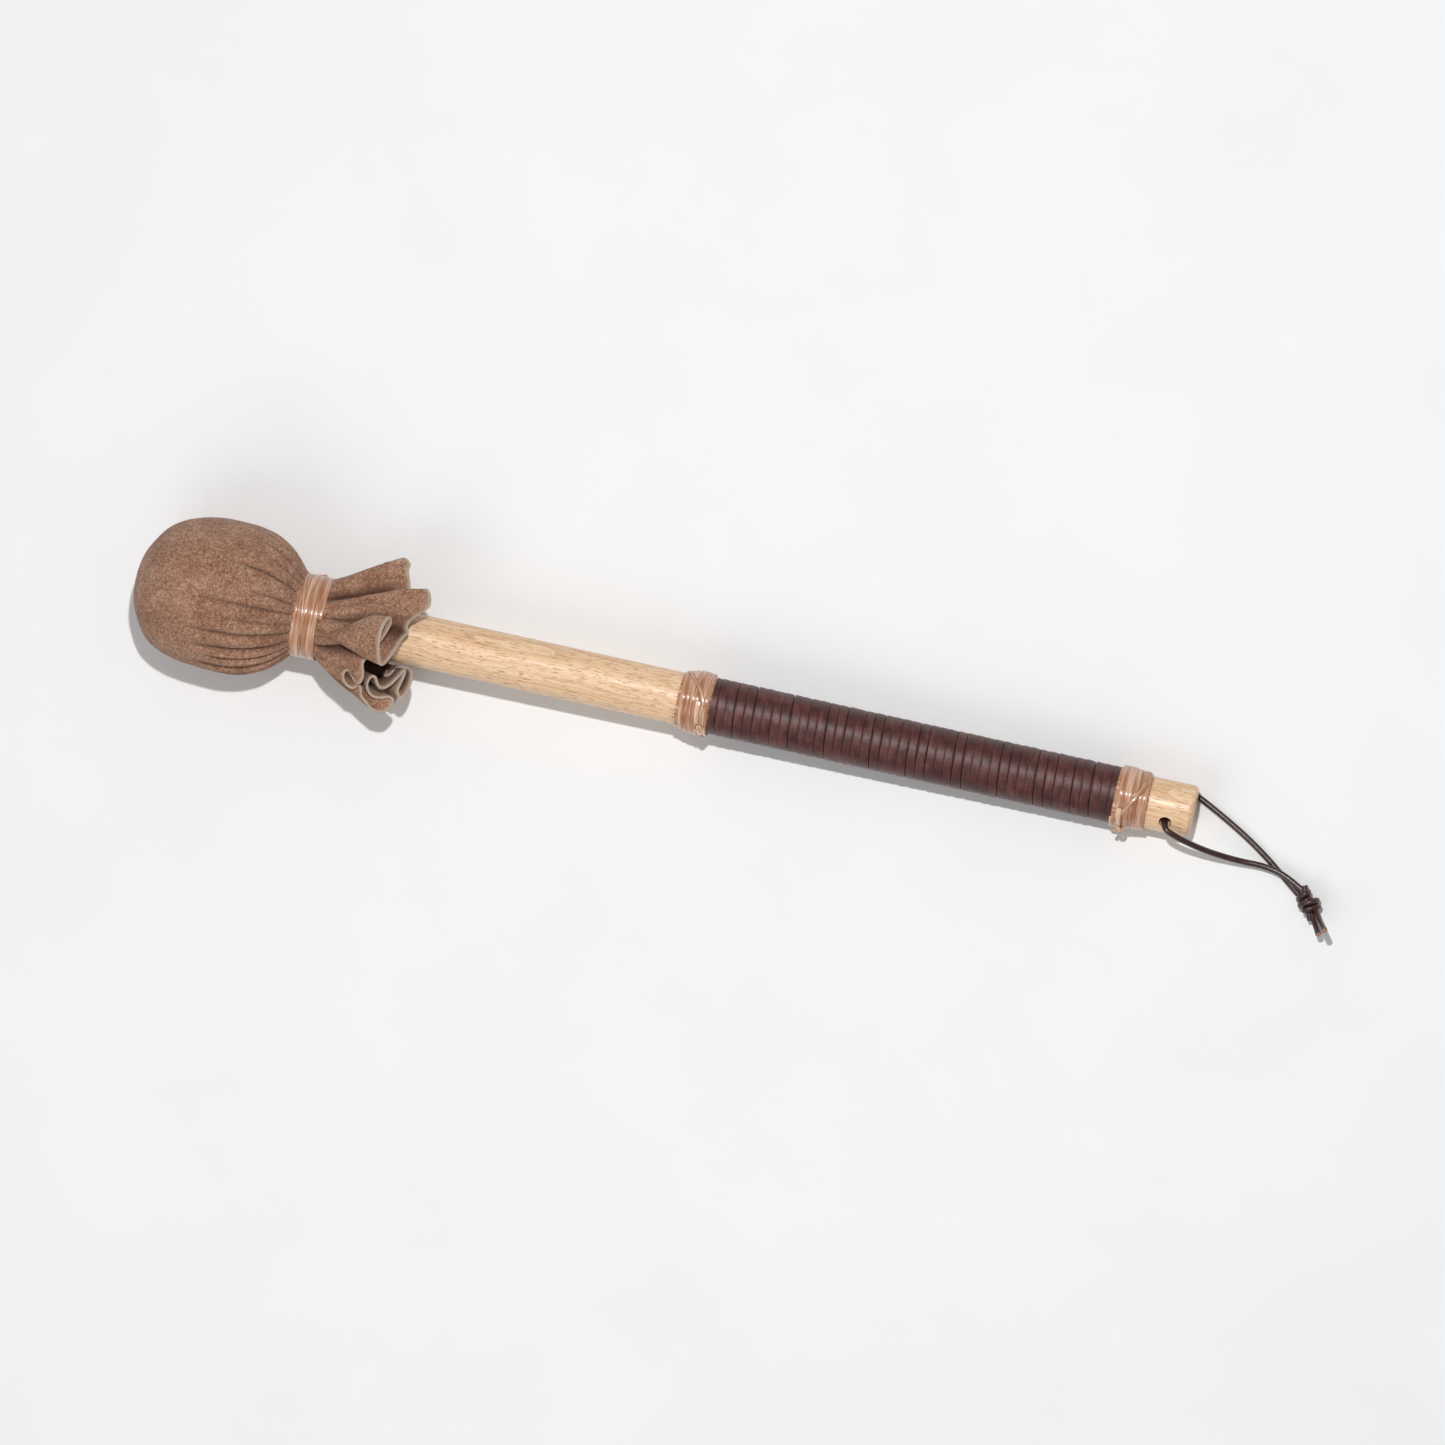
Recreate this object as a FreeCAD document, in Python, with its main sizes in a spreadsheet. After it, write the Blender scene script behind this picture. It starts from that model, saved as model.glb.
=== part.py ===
"""Padded beater: a wooden stick with a laced grip and a suede-covered felt head, lying on a flat surface.

The stick's own frame has X along the stick, from the head's tip (station 0) to the butt end. Every piece
on the stick is drawn in that frame and then laid down: tilted about Y by the lean angle, so that the head
and the rear binding both touch the surface z = 0. The row's origin is on that surface, half way along.
The cord loop is drawn in the laid-down frame, because it lies on the surface.
All lengths are in millimetres, all angles in degrees. A turn about the stick is 0 straight up and grows
towards -Y.
"""
import FreeCAD, Part
import math
import os

import Sketcher
from FreeCAD import Placement, Rotation, Vector

os.makedirs("parts", exist_ok=True)

DIMENSIONS = {
    # the stick
    "stick_length": 525.0, "shaft_radius": 12.7, "shaft_start": 26.0, "butt_round": 2.2,
    "hole_station": 513.0, "hole_radius": 3.1, "hole_turn": 38.5,
    # how it lies
    "lean_angle": 2.62, "centre_station": 262.72, "rest_station": 492.1, "rest_radius": 15.2,
    # felt and wool inside the head, and the gap that glued or tied faces keep
    "fit_gap": 0.05, "felt_radius": 22.0, "felt_end": 64.0, "end_pad_start": 13.5, "end_pad_radius": 20.0,
    "wool_tail_start": 71.5, "wool_tail_radius": 15.4, "wool_tail_end": 78.5,
    # the suede cover
    "suede_thick": 1.6, "crown_station": 5.2, "crown_radius": 19.5,
    "brow_station": 23.5, "brow_radius": 34.0, "brow_curve": 25.0,
    "cheek_station": 66.0, "cheek_radius": 34.8, "cheek_curve": 75.0,
    "nape_station": 79.0, "nape_radius": 21.5, "nape_curve": 20.0,
    "neck_start": 80.0, "neck_end": 94.0, "neck_radius": 19.5,
    "skirt_length": 40.0, "skirt_radius": 31.5, "skirt_lobes": 11, "skirt_wave": 5.2, "skirt_wall": 2.2,
    "skirt_root": 1.0, "root_step": 0.2,
    # sinew windings, their knots and their loose ends
    "tie_start": 72.2, "tie_width": 1.7, "tie_curve": 1.1, "tie_edge": 0.9,
    "neck_width": 2.8, "neck_edge": 0.35, "sinew_curve": 2.2, "sinew_thick": 0.75,
    "front_start": 270.4, "front_width": 2.7, "rear_start": 486.2, "rear_width": 2.95,
    "strip_width": 2.4, "strip_thick": 0.6, "strip_sweep": 42.0,
    "front_strip_station": 280.6, "front_strip_turn": -2.0, "front_strip_radius": 15.5,
    "rear_strip_station": 489.4, "rear_strip_turn": 22.0, "rear_strip_radius": 15.2,
    "knot_length": 5.0, "knot_breadth": 4.4, "knot_height": 3.6,
    "neck_knot_station": 88.0, "neck_knot_turn": -112.0, "neck_knot_reach": 21.6,
    "front_knot_station": 284.4, "front_knot_turn": 52.0, "front_knot_reach": 16.4,
    "rear_knot_station": 491.5, "rear_knot_turn": 76.0, "rear_knot_reach": 16.6,
    # leather lace on the grip
    "lace_start": 277.0, "lace_width": 4.42, "lace_thick": 0.85, "lace_pitch": 4.5, "lace_turns": 47,
    # the loop's cord and its knot
    "cord_radius": 1.5, "loop_knot_length": 17.0, "loop_knot_breadth": 10.0, "loop_band_radius": 3.9,
    "loop_band_spacing": 4.4,
}

# Layers of sinew at the edges of each wrap, counted from the wood.
FRONT_LAYERS = (0.4, 0.8, 1.6, 2.6, 3.0, 2.8, 2.0)
REAR_LAYERS = (1.9, 2.4, 2.6, 2.2, 1.4, 0.9, 0.4)

# Where the loop's cord runs, from the middle of the cross hole to the knot, and the tails past the knot.
FRONT_ROUTE = [
    (250.02, 0.0, 14.23), (250.57, -9.65, 26.35), (262.5, -17.5, 22.0), (274.0, -18.6, 13.0),
    (288.0, -18.2, 6.2), (300.0, -17.4, 4.6), (312.0, -19.2, 4.75), (322.0, -25.0, 5.2),
]
BACK_ROUTE = [
    (250.02, 0.0, 14.23), (249.47, 9.46, 2.35), (255.5, 11.2, 1.65), (265.5, 7.2, 1.6), (277.0, 1.9, 1.55),
    (289.0, -4.4, 1.55), (300.0, -11.6, 1.55), (311.0, -20.0, 1.6), (322.0, -28.3, 3.7),
]
FRONT_TAIL = [(329.5, -35.5, 6.5), (333.0, -40.0, 8.7), (336.0, -44.0, 13.0)]
BACK_TAIL = [(331.2, -33.0, 8.8), (335.0, -37.5, 14.5), (339.4, -41.5, 25.0)]
LOOP_KNOT_CENTRE = Vector(327.0, -31.0, 6.3)
LOOP_KNOT_AXIS = Vector(0.45, -0.89, 0.0)

UP, ALONG, ACROSS = Vector(0, 0, 1), Vector(1, 0, 0), Vector(0, 1, 0)
DOME = "dome"

doc = FreeCAD.newDocument("padded_beater")
dims = doc.addObject("Spreadsheet::Sheet", "dims")
for row, (alias, value) in enumerate(DIMENSIONS.items(), start=1):
    dims.set(f"A{row}", alias)
    dims.set(f"B{row}", str(value))
    dims.setAlias(f"B{row}", alias)
doc.recompute()


def size(expression):
    """The value of an expression in the sheet's words, such as 'dims.shaft_radius + 1'."""
    return float(dims.evalExpression(expression.replace("dims.", "")))


def stick_placement():
    """Where the stick's own frame lies: leant about Y, with the rear binding's lowest point on z = 0."""
    lean = math.radians(size("dims.lean_angle"))
    centre = size("dims.centre_station")
    height = size("dims.rest_radius") * math.cos(lean) + size("dims.rest_station") * math.sin(lean)
    return Placement(Vector(-centre * math.cos(lean), 0, height), Rotation(ACROSS, size("dims.lean_angle")))


def on_stick(station, turn, reach):
    """A place at a station, turned about the stick and out from its axis; its own Z points outwards."""
    roll = Rotation(ALONG, turn)
    return stick_placement().multiply(Placement(Vector(station, 0, 0) + roll.multVec(UP * reach), roll))


def new_body(name):
    body = doc.addObject("PartDesign::Body", name)
    body.Label = name
    return body


def new_sketch(body, name):
    plane = next(item for item in body.Origin.OriginFeatures if item.Role == "XY_Plane")
    sketch = body.newObject("Sketcher::SketchObject", name)
    sketch.AttachmentSupport = [(plane, "")]
    sketch.MapMode = "FlatFace"
    return sketch


def arc_between(start, end, radius):
    """Arc from start to end that bulges to the left of the way it runs."""
    chord = end - start
    left = Vector(-chord.y, chord.x, 0).normalize()
    centre = (start + end) / 2 - left * math.sqrt(radius ** 2 - (chord.Length / 2) ** 2)
    from_angle = math.atan2(end.y - centre.y, end.x - centre.x)
    to_angle = math.atan2(start.y - centre.y, start.x - centre.x)
    return Part.ArcOfCircle(Part.Circle(centre, UP, radius), from_angle, to_angle)


def bind_place(sketch, name, expression, kind, edge, end):
    """Tie one coordinate of an edge's end to an expression; a zero puts the end on that axis."""
    if expression == "0":
        axis = -1 if kind == "DistanceY" else -2
        sketch.addConstraint(Sketcher.Constraint("PointOnObject", edge, end, axis))
        return
    number = sketch.addConstraint(Sketcher.Constraint(kind, -1, 1, edge, end, size(expression)))
    sketch.renameConstraint(number, name)
    sketch.setExpression(f"Constraints.{name}", expression)


def bind_radius(sketch, name, expression, edge):
    number = sketch.addConstraint(Sketcher.Constraint("Radius", edge, size(expression)))
    sketch.renameConstraint(number, name)
    sketch.setExpression(f"Constraints.{name}", expression)


def draw_outline(sketch, corners, curves):
    """Closed outline through corners, each a pair of expressions (station, radius). curves maps the number
    of an edge to the expression of its radius where it bulges to the left, or to DOME where it starts on the
    axis and is centred on it; the other edges are straight."""
    points = [Vector(size(station), size(radius), 0) for station, radius in corners]
    edges = []
    for index, start in enumerate(points):
        end = points[(index + 1) % len(points)]
        if index in curves:
            dome_radius = (end - start).Length ** 2 / (2 * abs(end.x - start.x) or 1)
            radius = dome_radius if curves[index] == DOME else size(curves[index])
            edge = sketch.addGeometry(arc_between(start, end, radius), False)
            edges.append((edge, 2, 1))
        else:
            edge = sketch.addGeometry(Part.LineSegment(start, end), False)
            edges.append((edge, 1, 2))
    for (edge, _, last), (following, first, _) in zip(edges, edges[1:] + edges[:1]):
        sketch.addConstraint(Sketcher.Constraint("Coincident", edge, last, following, first))
    for index, (station, radius) in enumerate(corners):
        edge, first, _ = edges[index]
        bind_place(sketch, f"station_{index}", station, "DistanceX", edge, first)
        bind_place(sketch, f"radius_{index}", radius, "DistanceY", edge, first)
    for index, radius in curves.items():
        if radius == DOME:
            sketch.addConstraint(Sketcher.Constraint("PointOnObject", edges[index][0], 3, -1))
        else:
            bind_radius(sketch, f"curve_{index}", radius, edges[index][0])


def turned(name, corners, curves=None, start_turn=0.0, sweep="360"):
    """A body of revolution about the stick's axis from an outline in stations and radii."""
    body = new_body(name)
    sketch = new_sketch(body, name + "_outline")
    draw_outline(sketch, corners, curves or {})
    turn = body.newObject("PartDesign::Revolution", name + "_turn")
    turn.Profile = (sketch, [""])
    turn.ReferenceAxis = (sketch, ["H_Axis"])
    turn.setExpression("Angle", sweep)
    body.Placement = on_stick(0, start_turn, 0)
    return body


def make_handle():
    """Dowel with a rounded butt and a slanted cross hole for the loop."""
    shaft, end = "dims.shaft_radius", "dims.stick_length"
    corners = [
        ("dims.shaft_start", "0"), ("dims.shaft_start", shaft), (f"{end} - dims.butt_round", shaft),
        (end, f"{shaft} - dims.butt_round"), (end, "0"),
    ]
    body = turned("handle", corners, {2: "dims.butt_round"})
    doc.recompute()
    sketch = new_sketch(body, "cross_hole_outline")
    sketch.AttachmentOffset = Placement(Vector(), Rotation(ALONG, size("dims.hole_turn")))
    sketch.setExpression("AttachmentOffset.Rotation.Angle", "dims.hole_turn")
    centre = Vector(size("dims.hole_station"), 0, 0)
    edge = sketch.addGeometry(Part.Circle(centre, UP, size("dims.hole_radius")), False)
    bind_place(sketch, "height", "0", "DistanceY", edge, 3)
    bind_place(sketch, "station", "dims.hole_station", "DistanceX", edge, 3)
    bind_radius(sketch, "bore", "dims.hole_radius", edge)
    hole = body.newObject("PartDesign::Pocket", "cross_hole")
    hole.Profile = (sketch, [""])
    hole.Type = "ThroughAll"
    hole.SideType = "Symmetric"
    return body


def cover_outline(inset):
    """The pouch's outline, moved inwards by an expression: corners from the tip to the nape, and curves."""
    leans = {"crown": (0.87, 0.49), "brow": (0.42, 0.91), "cheek": (-0.22, 0.97), "nape": (-0.95, 0.30)}
    corners = [(inset, "0")]
    for word, (along, out) in leans.items():
        corners.append((f"dims.{word}_station + {along} * {inset}", f"dims.{word}_radius - {out} * {inset}"))
    curves = {index: f"dims.{word}_curve - {inset}" for index, word in enumerate(leans)}
    curves[0] = DOME
    return corners, curves


def surface_block(name, lift):
    """Everything below the height lift over the surface that the beater lies on."""
    block = doc.addObject("Part::Box", name)
    for side in ("Length", "Width", "Height"):
        block.setExpression(side, "2 * dims.stick_length")
    for way in ("x", "y"):
        block.setExpression(f"Placement.Base.{way}", "-dims.stick_length")
    block.setExpression("Placement.Base.z", f"{lift} - 2 * dims.stick_length")
    return block


def cut(name, base, tool):
    result = doc.addObject("Part::Cut", name)
    result.Base, result.Tool = base, tool
    result.Label = name
    return result


def fuse(name, pieces):
    result = doc.addObject("Part::MultiFuse", name)
    result.Shapes = pieces
    result.Label = name
    return result


def stick_bore(name):
    """A rod a fit gap thicker than the shaft, through the neck and the skirt."""
    rod = doc.addObject("Part::Cylinder", name)
    rod.setExpression("Radius", "dims.shaft_radius + dims.fit_gap")
    rod.setExpression("Height", "dims.neck_end + 1.1 * dims.skirt_length - dims.wool_tail_end")
    along_stick = Placement(Vector(), Rotation(ACROSS, 90))
    rod.Placement = on_stick(size("dims.wool_tail_end"), 0, 0).multiply(along_stick)
    return rod


def ruffled_ring(share, inset):
    """One wavy closed curve of the skirt, square to the stick. share runs from 0, a little inside the neck,
    to 1 at the rim; the radius grows with it, and swings once for each lobe."""
    lobes = int(size("dims.skirt_lobes"))
    root = size("dims.skirt_root")
    neck, rim = size("dims.neck_radius - dims.root_step"), size("dims.skirt_radius")
    station = size("dims.neck_end") - root + (size("dims.skirt_length") + root) * share
    points = []
    for step in range(8 * lobes):
        angle = 2 * math.pi * step / (8 * lobes)
        wave = size("dims.skirt_wave") * share * math.cos(lobes * angle)
        radius = neck + (rim - neck) * share ** 0.8 - inset + wave
        points.append(Vector(station, -radius * math.sin(angle), radius * math.cos(angle)))
    curve = Part.BSplineCurve()
    curve.interpolate(Points=points, PeriodicFlag=True)
    return Part.Wire([curve.toShape()])


def make_skirt():
    """The cover's loose end below the neck: a thin flared cone, gathered into lobes."""
    wall = size("dims.skirt_wall")
    outside = Part.makeLoft([ruffled_ring(share, 0.0) for share in (0.0, 0.35, 0.7, 1.0)], True)
    inside = Part.makeLoft([ruffled_ring(share, wall) for share in (0.12, 0.4, 0.7, 1.0)], True)
    skirt = doc.addObject("Part::Feature", "skirt")
    skirt.Shape = outside.cut(inside)
    skirt.Placement = stick_placement()
    return skirt


def make_cover():
    """Suede cover, one skin: a pouch over the padding, a thick gathered neck and a skirt, all flattened
    where they lie on the surface."""
    neck = [("dims.neck_start", "dims.neck_radius"), ("dims.neck_end", "dims.neck_radius"),
            ("dims.neck_end", "0")]
    corners, curves = cover_outline("0")
    pouch = turned("pouch", corners + neck, curves)
    corners, curves = cover_outline("dims.suede_thick")
    closing = [("dims.neck_start", "dims.wool_tail_radius"), ("dims.neck_start", "0")]
    hollow = turned("pouch_hollow", corners + closing, curves)
    flat_hollow = cut("flat_hollow", hollow, surface_block("inner_surface", "dims.suede_thick"))
    bore = stick_bore("leather_bore")
    pouch_shell = cut("pouch_shell", pouch, fuse("hollow_and_bore", [flat_hollow, bore]))
    leather = fuse("leather", [pouch_shell, cut("bored_skirt", make_skirt(), bore)])
    return cut("suede_cover", leather, surface_block("surface", "0"))


def make_wool():
    """Soft wool wrapped round the felt; its tail is tied down on the shaft below the felt."""
    corners, curves = cover_outline("(dims.suede_thick + dims.fit_gap)")
    felt, pad = "dims.felt_radius + dims.fit_gap", "dims.end_pad_radius + dims.fit_gap"
    bore, felt_end = "dims.shaft_radius + dims.fit_gap", "dims.felt_end + dims.fit_gap"
    felt_start, pad_start = "dims.shaft_start - dims.fit_gap", "dims.end_pad_start - dims.fit_gap"
    tail = [
        ("dims.wool_tail_start", "dims.wool_tail_radius"), ("dims.wool_tail_end", "dims.wool_tail_radius"),
        ("dims.wool_tail_end", bore), (felt_end, bore), (felt_end, felt), (felt_start, felt),
        (felt_start, pad), (pad_start, pad), (pad_start, "0"),
    ]
    corners.pop()
    curves.pop(len(corners) - 1)
    wool = turned("wool", corners + tail, curves)
    return cut("wool_padding", wool, surface_block("wool_surface", "dims.suede_thick + dims.fit_gap"))


def make_felt():
    """Rolled felt sleeve on the shaft's end, and a round felt pad over the end grain."""
    bore = "dims.shaft_radius + dims.fit_gap"
    sleeve = turned("felt_core", [
        ("dims.shaft_start", bore), ("dims.shaft_start", "dims.felt_radius"),
        ("dims.felt_end", "dims.felt_radius"), ("dims.felt_end", bore)])
    pad_end = "dims.shaft_start - dims.fit_gap"
    pad = turned("end_pad", [
        ("dims.end_pad_start", "0"), ("dims.end_pad_start", "dims.end_pad_radius"),
        (pad_end, "dims.end_pad_radius"), (pad_end, "0")])
    return sleeve, pad


def winding(name, start, width, curve, edges, inside):
    """Sinew wound side by side: a ring with one rounded ridge for each wrap. edges are the radii where the
    wraps meet, and inside is the way back along the bore."""
    corners = [(f"{start} + {index} * {width}", radius) for index, radius in enumerate(edges)]
    return turned(name, corners + inside, {index: curve for index in range(len(edges) - 1)})


def stepped_winding(name, layers, step, radii):
    """A winding that lies partly on the wood and partly on the lace's end; step is where the bore changes,
    and radii are the bore's radii before and after it."""
    start, width = f"dims.{name}_start", f"dims.{name}_width"
    end = f"{start} + {len(layers) - 1} * {width}"
    edges = [f"dims.shaft_radius + dims.fit_gap + {count} * dims.sinew_thick" for count in layers]
    inside = [(end, radii[1]), (step, radii[1]), (step, radii[0]), (start, radii[0])]
    return winding(f"{name}_binding", start, width, "dims.sinew_curve", edges, inside)


def make_windings():
    """The tie on the wool's tail, the neck's binding and the two bindings over the lace's ends."""
    tie_bore = "dims.wool_tail_radius + dims.fit_gap"
    tie_end = "dims.tie_start + 3 * dims.tie_width"
    tie = winding("padding_tie", "dims.tie_start", "dims.tie_width", "dims.tie_curve",
                  [f"{tie_bore} + dims.tie_edge"] * 4, [(tie_end, tie_bore), ("dims.tie_start", tie_bore)])
    neck_bore = "dims.neck_radius + dims.fit_gap"
    neck_end = "dims.neck_start + 5 * dims.neck_width"
    neck = winding("neck_binding", "dims.neck_start", "dims.neck_width", "dims.sinew_curve",
                   [f"{neck_bore} + dims.neck_edge"] * 6, [(neck_end, neck_bore), ("dims.neck_start", neck_bore)])
    wood = "dims.shaft_radius + dims.fit_gap"
    lace = f"{wood} + dims.lace_thick + dims.fit_gap"
    lace_end = "dims.lace_start + dims.lace_turns * dims.lace_pitch + dims.lace_width + dims.fit_gap"
    front = stepped_winding("front", FRONT_LAYERS, "dims.lace_start - dims.fit_gap", (wood, lace))
    rear = stepped_winding("rear", REAR_LAYERS, lace_end, (lace, wood))
    return tie, neck, front, rear


def make_lace():
    """Flat leather lace wound edge to edge on the grip: a helix of a thin rectangle."""
    body = new_body("grip_lace")
    sketch = new_sketch(body, "lace_section")
    inner, outer = "dims.shaft_radius + dims.fit_gap", "dims.shaft_radius + dims.fit_gap + dims.lace_thick"
    start, end = "dims.lace_start", "dims.lace_start + dims.lace_width"
    draw_outline(sketch, [(start, inner), (start, outer), (end, outer), (end, inner)], {})
    doc.recompute()
    helix = body.newObject("PartDesign::AdditiveHelix", "lace_winding")
    helix.Profile = (sketch, [""])
    helix.ReferenceAxis = (sketch, ["H_Axis"])
    helix.Mode = "pitch-turns-angle"
    helix.setExpression("Pitch", "dims.lace_pitch")
    helix.setExpression("Turns", "dims.lace_turns")
    body.Placement = stick_placement()
    return body


def make_knot(name, under):
    """A small hard knot of sinew: a flat-lying egg, hollowed where it sits on the winding under it."""
    station, turn, reach = (size(f"dims.{name}_{word}") for word in ("station", "turn", "reach"))
    egg = doc.addObject("Part::Ellipsoid", name + "_egg")
    for word, side in (("Radius2", "knot_length"), ("Radius3", "knot_breadth"), ("Radius1", "knot_height")):
        egg.setExpression(word, f"dims.{side} / 2")
    egg.Placement = on_stick(station, turn, reach)
    return cut(name, egg, under)


def make_strip(name):
    """The loose end of a winding: a narrow strip that lies round its outside."""
    start, radius = f"dims.{name}_station", f"dims.{name}_radius"
    end, outer = f"{start} + dims.strip_width", f"{radius} + dims.strip_thick"
    corners = [(start, radius), (start, outer), (end, outer), (end, radius)]
    start_turn = 90 + size(f"dims.{name}_turn")
    return turned(name, corners, start_turn=start_turn, sweep="dims.strip_sweep")


def cord_path(name, points):
    """Straight runs joined by tangent arcs, each as large as its two runs allow. Prints the arcs' radii."""
    points = [Vector(*point) for point in points]
    edges, radii, here = [], [], points[0]
    for before, corner, after in zip(points, points[1:], points[2:]):
        back, ahead = (before - corner), (after - corner)
        trim = 0.45 * min(back.Length, ahead.Length)
        back.normalize()
        ahead.normalize()
        half_turn = (math.pi - back.getAngle(ahead)) / 2
        radius = trim / math.tan(half_turn)
        first, last = corner + back * trim, corner + ahead * trim
        inward = (back + ahead).normalize()
        middle = corner + inward * (radius / math.cos(half_turn) - radius)
        edges += [Part.LineSegment(here, first).toShape(), Part.Arc(first, middle, last).toShape()]
        radii.append(round(radius, 1))
        here = last
    edges.append(Part.LineSegment(here, points[-1]).toShape())
    print(name, "arc radii", radii)
    return Part.Wire(edges)


def make_cord(name, points):
    """A round cord along a route; its volume is compared with its section times its length."""
    path = cord_path(name, points)
    radius = size("dims.cord_radius")
    start, ahead = Vector(*points[0]), Vector(*points[1]) - Vector(*points[0])
    section = Part.Wire([Part.Circle(start, ahead, radius).toShape()])
    cord = doc.addObject("Part::Feature", name)
    cord.Label = name
    cord.Shape = path.makePipeShell([section], True, False)
    cord.Placement = Placement()
    expected = math.pi * radius ** 2 * path.Length
    print(name, "length", round(path.Length, 1), "volume ratio", round(cord.Shape.Volume / expected, 4))
    return cord


def make_loop_knot():
    """Overhand knot in both strands at once: an egg-shaped heart with three bands of cord round it."""
    turn = Rotation(UP, LOOP_KNOT_AXIS)
    heart = doc.addObject("Part::Ellipsoid", "knot_heart")
    heart.setExpression("Radius1", "dims.loop_knot_length / 2")
    heart.setExpression("Radius2", "dims.loop_knot_breadth / 2")
    heart.setExpression("Radius3", "dims.loop_knot_breadth / 2")
    heart.Placement = Placement(LOOP_KNOT_CENTRE, turn)
    pieces = [heart]
    for index in (-1, 0, 1):
        band = doc.addObject("Part::Torus", f"knot_band_{index + 2}")
        band.setExpression("Radius1", "dims.loop_band_radius")
        band.setExpression("Radius2", "dims.cord_radius")
        offset = turn.multVec(UP) * (index * size("dims.loop_band_spacing"))
        band.Placement = Placement(LOOP_KNOT_CENTRE + offset, turn)
        pieces.append(band)
    return fuse("loop_knot", pieces)


def check(pieces):
    """Stop if any object failed to build or a sub-part has no good solid."""
    for item in doc.Objects:
        if "Invalid" in item.State or "Error" in item.State:
            raise RuntimeError(f"{item.Name} failed: {item.State}")
    for piece in pieces:
        if piece.Shape.isNull() or not piece.Shape.isValid() or not piece.Shape.Solids:
            raise RuntimeError(f"{piece.Label} has no good shape")


def main():
    tie, neck, front, rear = make_windings()
    felt_core, end_pad = make_felt()
    pieces = [
        make_handle(), felt_core, end_pad, make_wool(), tie, make_cover(), neck, front, rear, make_lace(),
        make_knot("neck_knot", neck), make_knot("front_knot", front), make_knot("rear_knot", rear),
        make_strip("front_strip"), make_strip("rear_strip"),
        make_cord("loop_strand_front", FRONT_ROUTE), make_cord("loop_strand_back", BACK_ROUTE),
        make_loop_knot(), make_cord("loop_tail_front", FRONT_TAIL), make_cord("loop_tail_back", BACK_TAIL),
    ]
    doc.recompute()
    check(pieces)
    for piece in pieces:
        box = piece.Shape.BoundBox
        print(f"{piece.Label:18s} solids {len(piece.Shape.Solids)} volume {piece.Shape.Volume:9.0f}"
              f"  x {box.XMin:7.1f} {box.XMax:7.1f}  z {box.ZMin:6.2f} {box.ZMax:6.2f}")
        piece.Shape.exportStep(f"parts/{piece.Label}.step")


if __name__ == "__main__":
    main()
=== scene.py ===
"""Padded beater: suede head, sinew windings, laced grip and cord loop, built round its CAD frame.

Run as a script, this file registers its own operators, calls them in order and leaves a finished scene.
Shapes are worked out in millimetres in the stick's own frame: a station along the stick from the head's
tip, a turn about it (0 straight up, growing towards -Y) and a reach out from its axis.
"""

import math

import bpy
import numpy as np
from bpy.props import FloatProperty, FloatVectorProperty, IntProperty, PointerProperty, StringProperty
from mathutils import Matrix, Vector


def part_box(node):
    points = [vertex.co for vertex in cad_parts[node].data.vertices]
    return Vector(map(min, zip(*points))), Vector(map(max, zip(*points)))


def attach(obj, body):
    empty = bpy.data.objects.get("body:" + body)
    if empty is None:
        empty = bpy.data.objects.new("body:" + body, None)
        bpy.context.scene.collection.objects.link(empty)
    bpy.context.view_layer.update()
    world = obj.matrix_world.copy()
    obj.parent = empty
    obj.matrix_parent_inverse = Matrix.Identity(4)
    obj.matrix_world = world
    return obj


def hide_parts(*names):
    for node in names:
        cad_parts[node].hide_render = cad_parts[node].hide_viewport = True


bl_info = {
    "name": "Padded Beater",
    "version": (1, 0, 0),
    "blender": (4, 5, 0),
    "location": "View3D > Sidebar > Beater",
    "description": "Builds the looks of a suede-headed padded beater round its CAD frame",
    "category": "Add Mesh",
}

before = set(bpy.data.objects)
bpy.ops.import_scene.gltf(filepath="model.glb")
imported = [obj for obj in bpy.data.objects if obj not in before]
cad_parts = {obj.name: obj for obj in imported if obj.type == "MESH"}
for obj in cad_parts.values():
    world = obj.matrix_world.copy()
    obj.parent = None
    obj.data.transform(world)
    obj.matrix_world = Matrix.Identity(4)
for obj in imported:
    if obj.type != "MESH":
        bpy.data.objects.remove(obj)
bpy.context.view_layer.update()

MM = 0.001
SENSOR_WIDTH = 36.0
# Station of the end pad's middle, where the stick's own frame is pinned to the CAD's.
END_PAD_STATION = 19.725
# UV width of once round the section of a strip or a tube.
SECTION_UV = 10.0
# Drawn width of the fibres, in millimetres.
FELT_FIBRE, WOOL_FIBRE = 0.7, 0.9

# The head's outline: (station, reach) from the tip to below the neck's binding.
POUCH_OUTLINE = (
    (0.0, 0.0), (0.5, 7.0), (2.2, 14.0), (5.2, 20.0), (10.3, 27.2), (16.8, 31.9), (23.5, 34.5),
    (31.0, 36.2), (41.0, 37.0), (52.0, 36.5), (60.0, 34.9), (66.0, 32.5), (71.0, 29.5), (75.0, 26.4),
    (78.0, 23.5), (80.5, 20.9), (83.5, 19.7), (88.5, 19.3), (93.5, 19.1),
)
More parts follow.
